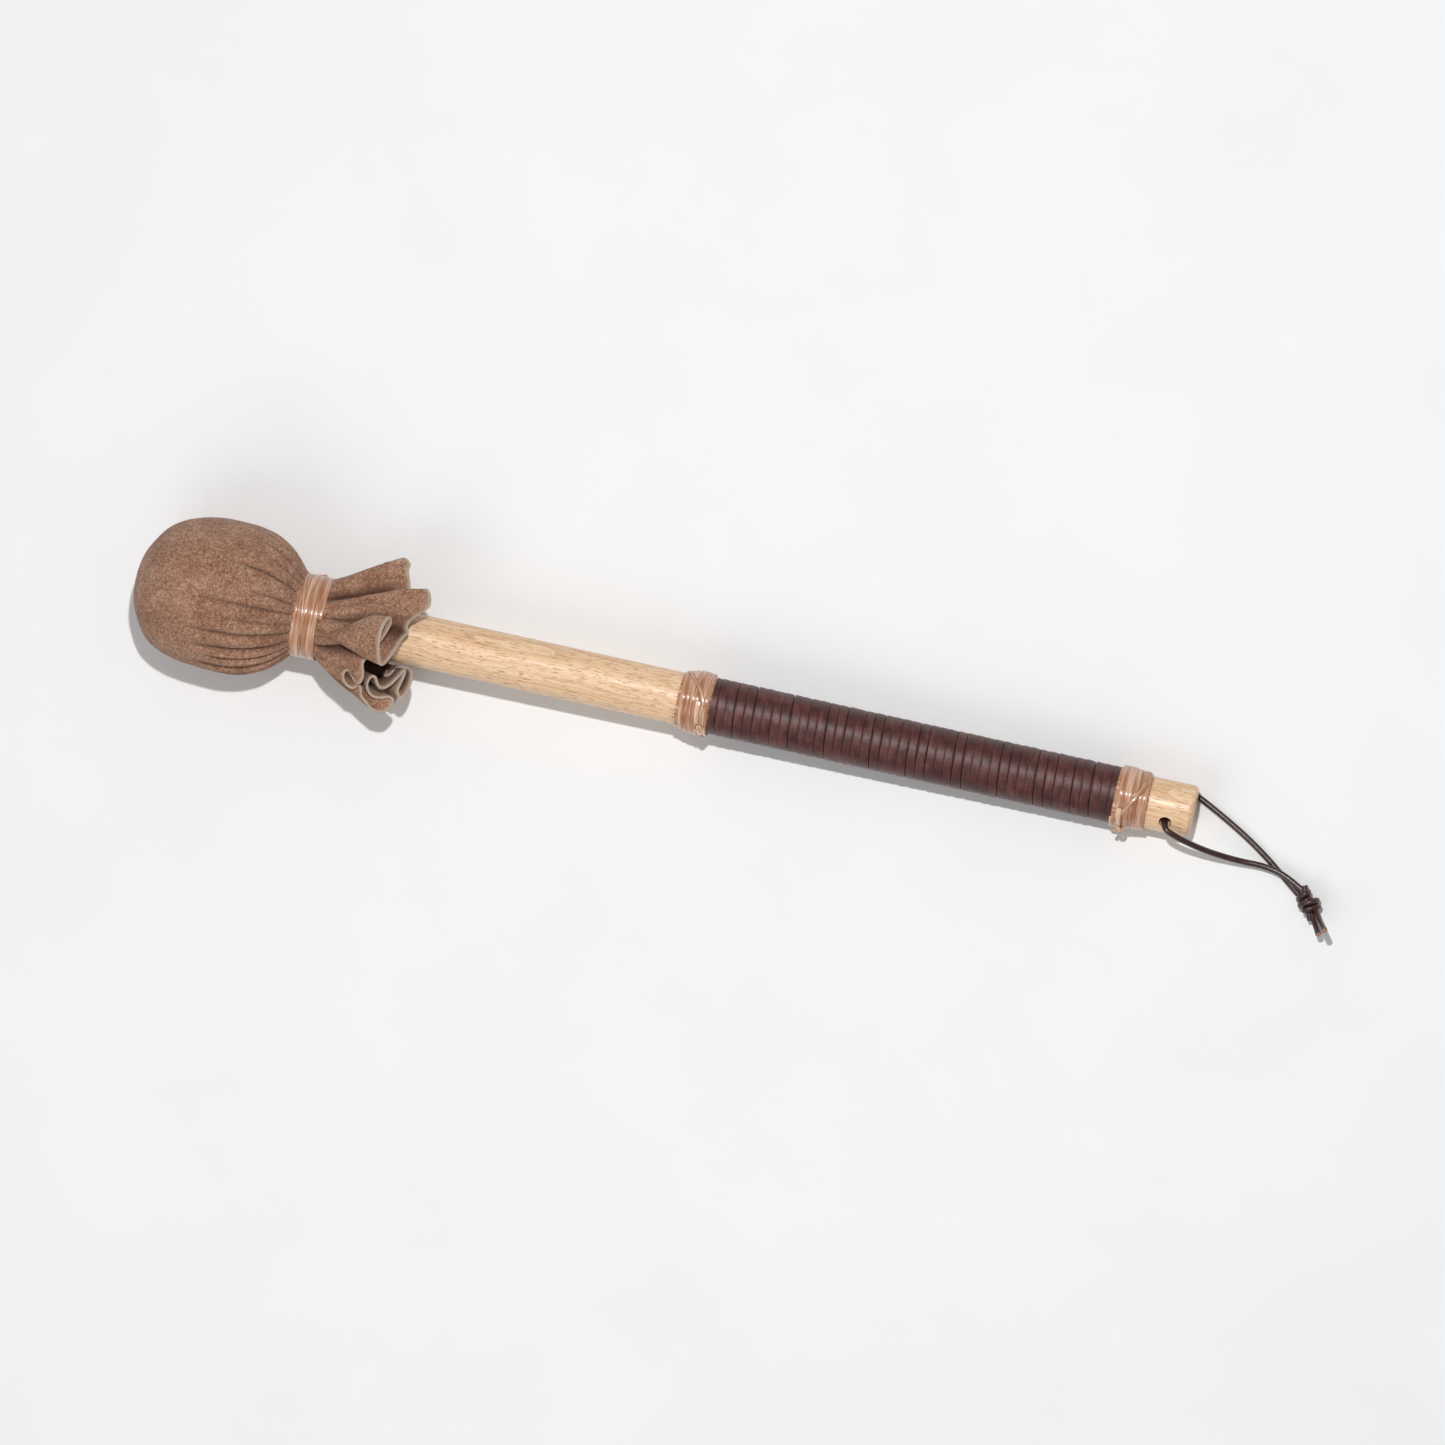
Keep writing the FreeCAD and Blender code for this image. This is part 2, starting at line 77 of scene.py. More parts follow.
# Creases of the gathered pouch: turn at the neck, drift towards the tip, station where it fades, depth and
# width. The depth also sets how much painted shade lies along the crease.
POUCH_CREASES = (
    (-29.0, -1.0, 42.0, 1.5, 2.6), (-10.0, 2.0, 53.0, 1.1, 2.4), (3.0, 0.0, 26.0, 1.3, 2.6),
    (17.0, -3.0, 40.0, 0.8, 3.4), (29.0, 0.0, 22.0, 1.7, 2.8), (43.5, 1.0, 28.0, 2.3, 3.0),
    (54.0, 1.0, 32.0, 1.6, 2.6), (67.0, 2.0, 30.0, 2.6, 3.4), (80.0, 2.0, 42.0, 1.7, 3.0),
    (96.0, -3.0, 34.0, 2.1, 3.2), (112.0, 2.0, 46.0, 1.5, 2.8), (127.0, 4.0, 30.0, 2.0, 3.4),
    (143.0, -2.0, 42.0, 1.5, 2.8), (160.0, 2.0, 36.0, 1.9, 3.2), (176.0, -4.0, 48.0, 1.4, 2.6),
    (-168.0, 3.0, 33.0, 2.1, 3.4), (-152.0, -2.0, 44.0, 1.5, 2.8), (-136.0, 3.0, 30.0, 1.9, 3.2),
    (-119.0, 1.0, 47.0, 1.3, 2.6), (-104.0, -4.0, 35.0, 1.8, 3.2), (-88.0, 3.0, 46.0, 1.3, 2.8),
    (-73.0, -2.0, 50.0, 1.0, 2.6), (-58.0, -3.0, 50.0, 1.0, 2.8), (-44.0, -2.0, 54.0, 0.9, 2.6),
)
# The skirt's rim on the upper side, fold by fold: turn in degrees, reach, station.
SHOWN_RIM = (
    (-88.0, 28.0, 127.0), (-78.0, 33.0, 125.6), (-74.5, 36.0, 125.0), (-78.5, 38.0, 126.7),
    (-73.0, 37.0, 130.2), (-69.0, 33.5, 130.5), (-66.0, 29.5, 132.1), (-57.0, 26.0, 134.0),
    (-48.5, 26.5, 138.1), (-45.5, 31.0, 141.0), (-45.5, 34.5, 143.2), (-40.0, 34.0, 145.4),
    (-31.5, 31.8, 146.0), (-25.5, 27.8, 141.5), (-20.0, 25.0, 138.3), (-12.0, 23.5, 137.3),
    (-6.0, 21.5, 138.0), (2.0, 23.0, 136.2), (12.5, 27.0, 134.8), (23.0, 32.0, 132.3), (24.5, 36.5, 130.2),
    (15.5, 38.0, 128.4), (3.0, 38.0, 127.4), (-7.0, 37.5, 128.2), (-12.5, 35.0, 129.6), (-9.5, 32.3, 130.4),
    (-1.0, 31.8, 129.2), (8.0, 33.0, 127.4), (19.0, 29.5, 125.0), (33.0, 29.0, 120.5), (40.5, 31.5, 121.3),
    (45.5, 33.0, 121.6), (50.5, 34.5, 120.2), (51.0, 33.0, 118.0), (48.5, 31.0, 116.0), (45.5, 30.0, 114.4),
    (44.0, 31.5, 112.6), (48.0, 33.5, 112.2), (52.5, 35.5, 114.3), (55.5, 35.5, 117.6), (56.0, 33.0, 119.9),
    (59.5, 33.5, 121.2), (64.0, 35.5, 122.0), (68.0, 37.0, 124.4), (72.0, 39.5, 128.7), (73.0, 39.0, 133.8),
    (70.5, 35.5, 136.8), (68.0, 33.0, 136.9), (66.5, 32.5, 134.3), (66.5, 34.0, 130.3), (65.5, 33.5, 126.0),
    (62.0, 30.0, 123.2), (58.0, 26.5, 123.9), (58.0, 25.5, 126.1), (62.5, 28.5, 128.4), (64.5, 29.0, 131.1),
    (62.0, 26.5, 134.2), (56.0, 23.0, 137.1), (49.0, 20.5, 139.4), (55.0, 22.0, 139.6), (61.5, 25.0, 138.7),
    (66.5, 28.5, 138.0), (70.0, 30.5, 139.9), (69.0, 28.0, 142.0), (64.5, 23.5, 143.0), (58.0, 19.5, 142.8),
    (58.0, 17.0, 140.4), (61.5, 17.0, 135.8), (67.0, 20.5, 132.2), (71.0, 21.5, 130.0), (74.0, 18.5, 130.0),
    (77.0, 16.5, 132.0), (83.0, 20.0, 130.5),
)
# Where the shown folds leave the neck: rim point by its place in the table, turn in degrees.
NECK_TURNS = (
    (0, -86.0), (3, -72.0), (5, -50.0), (7, -22.0), (9, -16.0), (12, -9.0), (15, -3.0), (18, 5.0),
    (20, 16.0), (22, 26.0), (24, 33.0), (26, 39.0), (28, 47.0), (31, 55.0), (35, 60.0), (40, 66.0),
    (45, 73.0), (55, 79.0), (62, 83.0), (72, 88.0),
)
# Where the cloth sinks behind its rim: first and last rim point, depth. The depth also sets the painted shade
# in the hollow.
HOLLOWS = ((32.0, 36.0, 5.0), (47.0, 71.0, 12.0))
# Deep valleys between the shown folds: rim point, width in rim points, depth. The depth also sets the painted
# shade in the valley.
VALLEYS = ((7.0, 0.9, 2.4), (15.5, 1.0, 1.6), (28.3, 0.9, 2.2), (39.5, 0.8, 1.2))
# The rest of the rim as lobes: middle turn, half width, foot, crest, station, drop and lean of each.
HIDDEN_LOBES = (
    (101.0, 12.0, 25.0, 37.0, 128.0, -3.0, 7.0), (127.0, 12.0, 23.0, 35.5, 131.0, 3.0, -8.0),
    (152.0, 11.0, 23.5, 32.0, 127.0, -2.0, 7.0), (177.0, 12.0, 23.0, 31.5, 130.0, 2.0, -6.0),
    (202.0, 11.0, 22.5, 32.5, 133.0, 3.0, 8.0), (226.0, 11.0, 23.5, 34.0, 126.0, -3.0, -7.0),
    (250.0, 10.0, 24.0, 34.0, 124.0, -2.0, 5.0),
)
# A lobe from foot to foot: side, rise and share of the lean at each point.
LOBE_SHAPE = ((-1.0, 0.0, 0.0), (-0.55, 0.5, 0.5), (-0.75, 0.9, 1.0), (0.0, 1.0, 1.5), (0.75, 0.9, 1.0),
              (0.5, 0.45, 0.5))
# Grid of the skirt round its rim and from neck to rim; station where it starts and the skin's reach there.
SKIRT_COLUMNS, SKIRT_ROWS = 1160, 34
SKIRT_START, NECK_SKIN = 91.5, 18.2
# How near the stick a fold and a sunk hollow may come; depth and pitch (in rim points) of the small ruffles.
FOLD_REACH, HOLLOW_REACH = 15.2, 14.4
RUFFLE_DEPTH, RUFFLE_PITCH = 1.3, 4.3

# Grid of the pouch round the stick and along it; station where the creases meet, sag of the pouch.
POUCH_COLUMNS, POUCH_ROWS = 512, 168
CREASE_END, POUCH_SAG = 86.0, 0.9
# The wool's outline, as the head's, and its height above the floor.
WOOL_GAP = 3.5
WOOL_OUTLINE = (
    (6.0, 0.0), (7.0, 8.0), (9.5, 15.5), (14.5, 23.0), (22.0, 29.0), (31.0, 32.0), (45.0, 33.0), (58.0, 31.5),
    (65.0, 28.5), (70.0, 24.0), (73.5, 19.0), (76.5, 16.0),
)

# Reach of the two bindings along their length: distance from the start, reach.
FRONT_PROFILE = ((0.0, 13.6), (2.7, 14.0), (5.4, 14.7), (8.1, 15.4), (10.8, 15.7), (13.5, 15.5), (17.4, 14.6))
REAR_PROFILE = ((0.0, 14.8), (2.9, 15.2), (5.9, 15.2), (8.8, 14.9), (11.8, 14.3), (14.7, 13.9), (17.7, 13.5))
# Strands that cross the bindings: middle turn and swing along the stick, sweep round it.
CROSSINGS = {"front_wraps": ((-35.0, 5.0, 80.0), (150.0, -5.5, 110.0)),
             "rear_wraps": ((10.0, -5.5, 95.0), (-140.0, 5.0, 120.0))}
# Knots: station, turn in radians, reach, spread; loose ends: station, turn and sweep in degrees, reach.
KNOTS = {"neck_knot": (88.0, -1.955, 21.3, 2.3), "front_knot": (284.4, 0.908, 16.4, 2.4),
         "rear_knot": (491.5, 1.326, 16.4, 2.4)}
LOOSE_ENDS = {"front_strip": (281.8, -2.0, 42.0, 15.9), "rear_strip": (490.6, 22.0, 42.0, 15.7)}

# The loop's cord in the row frame, from the middle of the cross hole to the knot.
FRONT_ROUTE = (
    (249.4, 0.2, 14.0), (248.9, -9.9, 26.2), (257.2, -13.6, 24.0), (271.6, -17.0, 13.6),
    (287.8, -18.2, 6.2), (299.6, -17.8, 4.75), (311.0, -20.0, 4.8), (320.0, -25.2, 5.2),
)
BACK_ROUTE = (
    (250.02, 0.0, 14.23), (249.47, 9.46, 2.35), (255.5, 10.4, 1.65), (265.5, 5.8, 1.6), (277.0, 0.0, 1.55),
    (288.6, -6.4, 1.55), (299.2, -13.2, 1.55), (309.4, -20.8, 1.6), (319.6, -28.2, 3.7),
)
FRONT_TAIL = ((323.6, -29.6, 6.0), (327.0, -35.3, 6.5), (330.3, -40.1, 8.7), (333.1, -44.3, 13.0))
BACK_TAIL = ((324.1, -28.2, 7.4), (328.6, -33.0, 8.8), (332.3, -37.7, 14.5), (336.5, -41.8, 25.0))
KNOT_CENTRE = (324.6, -30.5, 6.3)
KNOT_AXIS = (0.45, -0.89, 0.0)


# ---------------------------------------------------------------------------------------------- settings

def length_mm(name, default, description):
    """A size property in millimetres."""
    return FloatProperty(name=name, description=description + ", in millimetres", default=default,
                         min=0.0, precision=2)


def angle_deg(name, default, description):
    """An angle property whose default is given in degrees."""
    return FloatProperty(name=name, description=description, default=math.radians(default), subtype="ANGLE")


def measure(name, default, description, unit="LENGTH"):
    """A number property in the scene's own units."""
    return FloatProperty(name=name, description=description, default=default, unit=unit)


def spot(name, default, description):
    """A place property in metres."""
    return FloatVectorProperty(name=name, description=description, default=default, subtype="TRANSLATION")


def colour(name, default, description):
    """A colour property written as an sRGB hex value."""
    return StringProperty(name=name, description=description + ", as an sRGB hex value", default=default)


class BeaterSizes(bpy.types.PropertyGroup):
    """Sizes of the pieces, in millimetres in the stick's own frame."""
    lean: angle_deg("Lean", 2.62, "How far the stick leans down towards its butt")
    shaft_radius: length_mm("Shaft radius", 12.7, "Radius of the wooden shaft")
    suede_thick: length_mm("Suede thickness", 1.3, "Thickness of the suede at its cut edge")
    neck_station: length_mm("Neck", 80.0, "Where the neck's binding starts")
    neck_radius: length_mm("Neck radius", 19.4, "Radius of the gathered suede in the neck")
    lace_start: length_mm("Lace start", 277.0, "Where the lace's first turn starts")
    lace_width: length_mm("Lace width", 4.62, "Width of the flat lace")
    lace_thick: length_mm("Lace thickness", 0.95, "Thickness of the flat lace")
    lace_pitch: length_mm("Lace pitch", 4.5, "Advance of the lace in one turn")
    lace_turns: IntProperty(name="Lace turns", description="Turns of lace on the grip", default=47, min=1)
    front_start: length_mm("Front binding", 270.4, "Where the front binding starts")
    rear_start: length_mm("Rear binding", 486.2, "Where the rear binding starts")
    cord_diameter: length_mm("Cord diameter", 3.0, "Diameter of the loop's leather cord")


class BeaterColours(bpy.types.PropertyGroup):
    """Colours of the finishes."""
    suede: colour("Suede", "#9A7058", "Middle tone of the brushed suede")
    suede_light: colour("Suede, light nap", "#D2AF95", "Nap that stands towards the light")
    suede_dark: colour("Suede, dark nap", "#653F2E", "Nap that lies down, and folds")
    # painted shade deep in folds and creases: a darker, redder suede
    suede_fold: colour("Suede, fold", "#42251B", "Depth of a fold, where the hide is redder")
    suede_edge: colour("Suede edge", "#BDA996", "Pale core of the leather at its cut edge")
    oak: colour("Oak", "#E9C39B", "Middle tone of the wood")
    oak_pale: colour("Oak, early wood", "#F1D3B0", "Pale early wood of the rings")
    oak_dark: colour("Oak, late wood", "#D5A87F", "Darker late wood of the rings")
    oak_pore: colour("Oak pores", "#B88A62", "Open pores of the wood")
    lace: colour("Lace", "#4C2420", "Dyed grain side of the lace")
    lace_dark: colour("Lace, full dye", "#30130F", "Lace where the dye is fresh")
    lace_worn: colour("Lace, worn", "#6E4038", "Lace where the dye is rubbed")
    # painted shade in the seams between two turns, on the lace's cut edges
    lace_edge: colour("Lace edge", "#1C0A09", "Cut edges of the lace, down between two turns")
    sinew: colour("Sinew", "#B27C5A", "Waxed sinew where it lies thick")
    sinew_dark: colour("Sinew, deep", "#865032", "Waxed sinew between its fibres")
    sinew_pale: colour("Sinew, pale", "#E2C2A8", "Waxed sinew where its fibres split")
    cord: colour("Cord", "#2C1514", "Dyed round leather cord")
    cord_worn: colour("Cord, worn", "#523029", "Cord where the dye is rubbed")
    cord_cut: colour("Cord, cut end", "#C99A88", "Undyed core at the cord's cut end")
    cord_core: colour("Cord, cut pores", "#8A5A4C", "Pores of that core")
    felt: colour("Felt", "#E6DDCD", "Pressed felt of the core")
    felt_dark: colour("Felt, deep", "#B9AE9C", "Felt between its fibres")
    wool: colour("Wool", "#F4EEE2", "Carded wool of the padding")
    wool_dark: colour("Wool, deep", "#CFC6B4", "Wool between its fibres")
    twine: colour("Twine", "#C9AA80", "Waxed twine of the tie")
    twine_dark: colour("Twine, deep", "#8A6A48", "Twine between its plies")
    floor: colour("Floor", "#F2F2F2", "Plain pale floor")
    floor_dark: colour("Floor, mottle", "#EFEFEF", "Faint mottle of the floor")
    surroundings: colour("Surroundings", "#FFFFFF", "Soft light from all round")


class BeaterStage(bpy.types.PropertyGroup):
    """Camera and lights."""
    view_tilt: angle_deg("View tilt", 8.3, "How far the camera stands from overhead, towards the butt")
    view_roll: angle_deg("View roll", 12.5, "How far the stick is turned clockwise in the view")
    view_distance: measure("View distance", 4.8, "Camera's distance")
    view_width: measure("View width", 0.6965, "Width of the view at the stick")
    view_target: spot("View target", (0.031, -0.0069, 0.0245), "What the camera looks at")
    key_place: spot("Key place", (0.19, 0.42, 2.1), "Where the key light stands")
    key_side: measure("Key width", 0.06, "Width of the key light")
    key_power: measure("Key power", 28.0, "Power of the key light", "POWER")
    fill_place: spot("Fill place", (-0.6, -1.3, 1.6), "Where the fill light stands")
    fill_side: measure("Fill width", 1.4, "Width of the fill light")
    fill_power: measure("Fill power", 9.0, "Power of the fill light", "POWER")
    surround_power: measure("Surroundings", 0.33, "Strength of the light all round", "NONE")


def sizes():
    return bpy.context.scene.beater_sizes


def colours():
    return bpy.context.scene.beater_colours


# ------------------------------------------------------------------------------------------ shape helpers

def on_stick(station, turn, reach):
    """Row-frame points in metres from stations, turns in radians and reaches in millimetres: out from the
    axis by reach, turned from straight up towards -Y, then leant about Y and set down where the frame's
    end pad is."""
    station, turn, reach = np.broadcast_arrays(station, turn, reach)
    low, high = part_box("end_pad")
    anchor = np.array((low + high) / 2) / MM
    lean = sizes().lean
    along = station - END_PAD_STATION
    out = reach * np.cos(turn)
    x = anchor[0] + along * math.cos(lean) + out * math.sin(lean)
    y = anchor[1] - reach * np.sin(turn)
    z = anchor[2] - along * math.sin(lean) + out * math.cos(lean)
    return np.stack((x, y, z), axis=-1) * MM


def rest_on_floor(points, softness=1.1):
    """Points pressed flat where they would go through the floor: height becomes the mean of itself and its
    distance from zero, rounded over by softness millimetres."""
    points = points.copy()
    height = points[..., 2]
    points[..., 2] = (height + np.sqrt(height ** 2 + (softness * MM) ** 2)) / 2
    return points


def through(values, where):
    """Smooth curve through values at 0, 1, 2 ..., read at where: a cubic between each pair whose slopes are
    half the step between the two neighbours."""
    values = np.asarray(values, float)
    padded = np.concatenate((2 * values[:1] - values[1:2], values, 2 * values[-1:] - values[-2:-1]))
    return _cubic(padded, where, len(values) - 1)


def _cubic(padded, where, spans):
    """The cubic of each span at where, from its two ends and their slopes; padded holds one more value at
    each end."""
    cell = np.clip(np.floor(where).astype(int), 0, spans - 1)
    part = np.asarray(where - cell)
    part = part.reshape(part.shape + (1,) * (padded.ndim - 1))
    before, start, end, after = (padded[cell + step] for step in range(4))
    slope_start, slope_end = (end - before) / 2, (after - start) / 2
    square, cube = part ** 2, part ** 3
    return (start * (2 * cube - 3 * square + 1) + slope_start * (cube - 2 * square + part)
            + end * (3 * square - 2 * cube) + slope_end * (cube - square))


def smooth_step(value, low, high):
    """0 below low, 1 above high, and three squares less two cubes of the share between them."""
    share = np.clip((value - low) / (high - low), 0.0, 1.0)
    return share * share * (3 - 2 * share)


def wobble(where, seed, waves=5, closed=False):
    """Gentle unevenness between about -1 and 1: a sum of sines with seeded phases and rising pitch. When
    closed, each sine fits a whole number of times into one turn."""
    rng = np.random.default_rng(seed)
    total = np.zeros_like(np.asarray(where, float))
    for index in range(1, waves + 1):
        pitch = index if closed else index * rng.uniform(0.7, 1.3)
        total += np.sin(pitch * where + rng.uniform(0, 2 * math.pi)) / index ** 0.7
    return total / waves ** 0.5


def grid_mesh(name, points, materials, across_mm=SECTION_UV, along_mm=10.0, marks=None, endless=False):
    """Mesh over a grid of points (rows, columns, 3) whose columns run round and meet. Endless rows run round
    too; otherwise the first and last row are each closed by a fan to their middle, which takes the last of
    the materials. UVs grow by across_mm along a row and by along_mm from row to row, and marks are
    point attributes by name."""
    rows, columns = points.shape[:2]
    spans = rows if endless else rows - 1
    row, column = np.meshgrid(np.arange(spans), np.arange(columns), indexing="ij")
    corner_rows = np.stack((row, row, row + 1, row + 1), axis=-1)
    corner_columns = np.stack((column, column + 1, column + 1, column), axis=-1)
    corners = ((corner_rows % rows) * columns + corner_columns % columns).ravel()
    u, v = corner_columns.ravel() / columns, corner_rows.ravel() / spans
    counts, vertices = np.full(spans * columns, 4), points.reshape(-1, 3)
    if not endless:
        ring = np.arange(columns)
        vertices = np.concatenate((vertices, [points[0].mean(axis=0)], [points[-1].mean(axis=0)]))
        for middle, start, order in ((rows * columns, 0, (1, 0)), (rows * columns + 1, rows - 1, (0, 1))):
            sides = [(ring + step) % columns + start * columns for step in order]
            corners = np.concatenate((corners, np.stack([np.full(columns, middle)] + sides, axis=-1).ravel()))
            u = np.concatenate((u, np.stack([ring + 0.5] + [ring + step for step in order], axis=-1).ravel()
                                / columns))
            v = np.concatenate((v, np.full(3 * columns, start / spans)))
        counts = np.concatenate((counts, np.full(2 * columns, 3)))
    mesh = bpy.data.meshes.new(name)
    mesh.vertices.add(len(vertices))
    mesh.vertices.foreach_set("co", vertices.astype(np.float32).ravel())
    mesh.loops.add(len(corners))
    mesh.loops.foreach_set("vertex_index", corners.astype(np.int32))
    mesh.polygons.add(len(counts))
    mesh.polygons.foreach_set("loop_start", (np.cumsum(counts) - counts).astype(np.int32))
    for material in materials:
        mesh.materials.append(material)
    slots = np.zeros(len(counts), np.int32)
    slots[spans * columns:] = len(materials) - 1
    mesh.polygons.foreach_set("material_index", slots)
    mesh.update(calc_edges=True)
    mesh.shade_smooth()
    layer = mesh.uv_layers.new(name="UVMap")
    layer.data.foreach_set("uv", np.stack((u * across_mm, v * along_mm), axis=-1).astype(np.float32).ravel())
    for mark, values in (marks or {}).items():
        flat = np.broadcast_to(values, (rows, columns)).ravel()
        if not endless:
            flat = np.concatenate((flat, [flat[0], flat[-1]]))
        mesh.attributes.new(mark, "FLOAT", "POINT").data.foreach_set("value", flat.astype(np.float32))
    piece = bpy.data.objects.new(name, mesh)
    bpy.context.scene.collection.objects.link(piece)
    return face_outwards(piece)


def face_outwards(piece):
    """Turn the faces round if the mesh's signed volume is negative, so that they point outwards."""
    mesh = piece.data
    mesh.calc_loop_triangles()
    corners = np.empty(len(mesh.loop_triangles) * 3, np.int32)
    mesh.loop_triangles.foreach_get("vertices", corners)
    places = np.empty(len(mesh.vertices) * 3, np.float32)
    mesh.vertices.foreach_get("co", places)
    a, b, c = (places.reshape(-1, 3)[corners.reshape(-1, 3)[:, index]] for index in range(3))
    if np.einsum("ij,ij->i", a, np.cross(b, c)).sum() < 0:
        mesh.flip_normals()
    return piece


def path_length(path):
    """Length in millimetres of a path of points in metres: the sum of its steps."""
    return np.linalg.norm(np.diff(path, axis=0), axis=1).sum() / MM


def tube(name, path, radius, materials, sides=16, flatness=1.0):
    """Tube along a path of points in metres: a ring square to the path at each point, flattened by flatness
    along its second direction. The first direction is carried along, each time losing what lies along the
    path there. Each end is rounded off by a smaller ring."""
    forward = np.gradient(path, axis=0)
    forward /= np.linalg.norm(forward, axis=1, keepdims=True)
    side = np.empty_like(path)
    guess = np.cross(forward[0], (0.3, 0.2, 0.93))
    for index, direction in enumerate(forward):
        guess = guess - direction * guess.dot(direction)
        guess /= np.linalg.norm(guess)
        side[index] = guess
    radii = np.broadcast_to(np.asarray(radius, float), (len(path),)).copy()
    tip = radii[0] * 0.25
    path = np.concatenate((path[:1], path[:1] + forward[:1] * tip, path[1:-1], path[-1:] - forward[-1:] * tip,
                           path[-1:]))
    radii = np.concatenate((radii[:1] * 0.8, radii, radii[-1:] * 0.8))
    side = np.concatenate((side[:1], side, side[-1:]))
    forward = np.concatenate((forward[:1], forward, forward[-1:]))
    other = np.cross(forward, side)
    angle = np.linspace(0, 2 * math.pi, sides, endpoint=False)[None, :, None]
    rings = path[:, None] + radii[:, None, None] * (np.cos(angle) * side[:, None]
                                                    + flatness * np.sin(angle) * other[:, None])
    return grid_mesh(name, rings, materials, along_mm=path_length(path))


def ribbon(name, station, turn, reach, width, thick, materials, lift=0.0, sides=12, squareness=3.0):
    """Flat strip wound on the stick along stations, turns and reaches. Its section lies in the plane of the
    stick's axis and the outward way: a rounded rectangle, |x|^n + |y|^n = 1 with n the squareness, whose edge
    towards the butt is lifted and the other one lowered."""
    angle = np.linspace(0, 2 * math.pi, sides, endpoint=False)
    across = np.sign(np.cos(angle)) * np.abs(np.cos(angle)) ** (2 / squareness)
    up = np.sign(np.sin(angle)) * np.abs(np.sin(angle)) ** (2 / squareness)
    station, reach, width, thick, lift = (np.broadcast_to(np.asarray(item, float), turn.shape)[:, None]
                                          for item in (station, reach, width, thick, lift))
    points = on_stick(station + across * width / 2, turn[:, None], reach + up * thick / 2 + across * lift)
    return grid_mesh(name, rest_on_floor(points, 0.2), materials,
                     along_mm=path_length(points.mean(axis=1)))


def joined(name, parts):
    """One object from several, under the first one's name."""
    with bpy.context.temp_override(active_object=parts[0], selected_editable_objects=parts):
        bpy.ops.object.join()
    parts[0].name = name
    return parts[0]


# -------------------------------------------------------------------------------------------- materials

def linear(code):
    """Linear colour of an sRGB hex code: each part c above 0.04045 becomes ((c + 0.055) / 1.055) ^ 2.4."""
    parts = [int(code[place:place + 2], 16) / 255 for place in (1, 3, 5)]
    return [c / 12.92 if c <= 0.04045 else ((c + 0.055) / 1.055) ** 2.4 for c in parts] + [1.0]


def connect(tree, target, links):
    """Give a node's inputs, by name or number, a socket to join, or a value or sRGB hex code to hold."""
    for word, value in links.items():
        if isinstance(value, bpy.types.NodeSocket):
            tree.links.new(value, target.inputs[word])
        else:
            target.inputs[word].default_value = linear(value) if isinstance(value, str) else value


def node(tree, kind, links=None, stops=(), **settings):
    """Add a node with its settings and links; stops are a ramp's colours, each (place, sRGB hex code)."""
    new = tree.nodes.new(kind)
    for word, value in settings.items():
        setattr(new, word, value)
    for _ in stops[2:]:
        new.color_ramp.elements.new(0.5)
    if stops:
        for element, (place, code) in zip(new.color_ramp.elements, stops):
            element.position, element.color = place, linear(code)
    connect(tree, new, links or {})
    return new


def finish(name):
    """An empty material: itself, its tree, its shader, object coordinates in millimetres and UVs."""
    material = bpy.data.materials.new(name)
    material.use_nodes = True
    tree = material.node_tree
    shader = next(item for item in tree.nodes if item.type == "BSDF_PRINCIPLED")
    coordinates = node(tree, "ShaderNodeTexCoord").outputs
    where = node(tree, "ShaderNodeVectorMath", {0: coordinates["Object"], 1: (1 / MM,) * 3},
                 operation="MULTIPLY").outputs["Vector"]
    return material, tree, shader, where, coordinates["UV"]


def mottle(tree, where, grain_mm, detail=3.0, rough=0.55, scale=None):
    """Unevenness whose lumps are about grain_mm across; scale stretches it along the coordinates. Its
    contrast is raised so that it fills 0 to 1."""
    if scale:
        where = node(tree, "ShaderNodeMapping", {"Vector": where, "Scale": scale}).outputs["Vector"]
    new = node(tree, "ShaderNodeTexNoise", {"Vector": where, "Scale": 1.0 / grain_mm, "Detail": detail,
                                            "Roughness": rough})
    spread = node(tree, "ShaderNodeMapRange", {"Value": new.outputs["Fac"], "From Min": 0.3, "From Max": 0.7})
    return spread.outputs["Result"]


def weighted(tree, *parts, start=0.0):
    """Sum of start and each socket times its weight, which is a number or another socket."""
    for socket, weight in parts:
        start = node(tree, "ShaderNodeMath", {0: socket, 1: weight, 2: start},
                     operation="MULTIPLY_ADD").outputs[0]
    return start


def bumps(tree, shader, *layers):
    """Bump layers one on another, each (height socket, depth in millimetres)."""
    normal = None
    for height, depth in layers:
        links = {"Height": height, "Distance": depth * MM, "Strength": 1.0}
        if normal is not None:
            links["Normal"] = normal
        normal = node(tree, "ShaderNodeBump", links).outputs["Normal"]
    tree.links.new(normal, shader.inputs["Normal"])


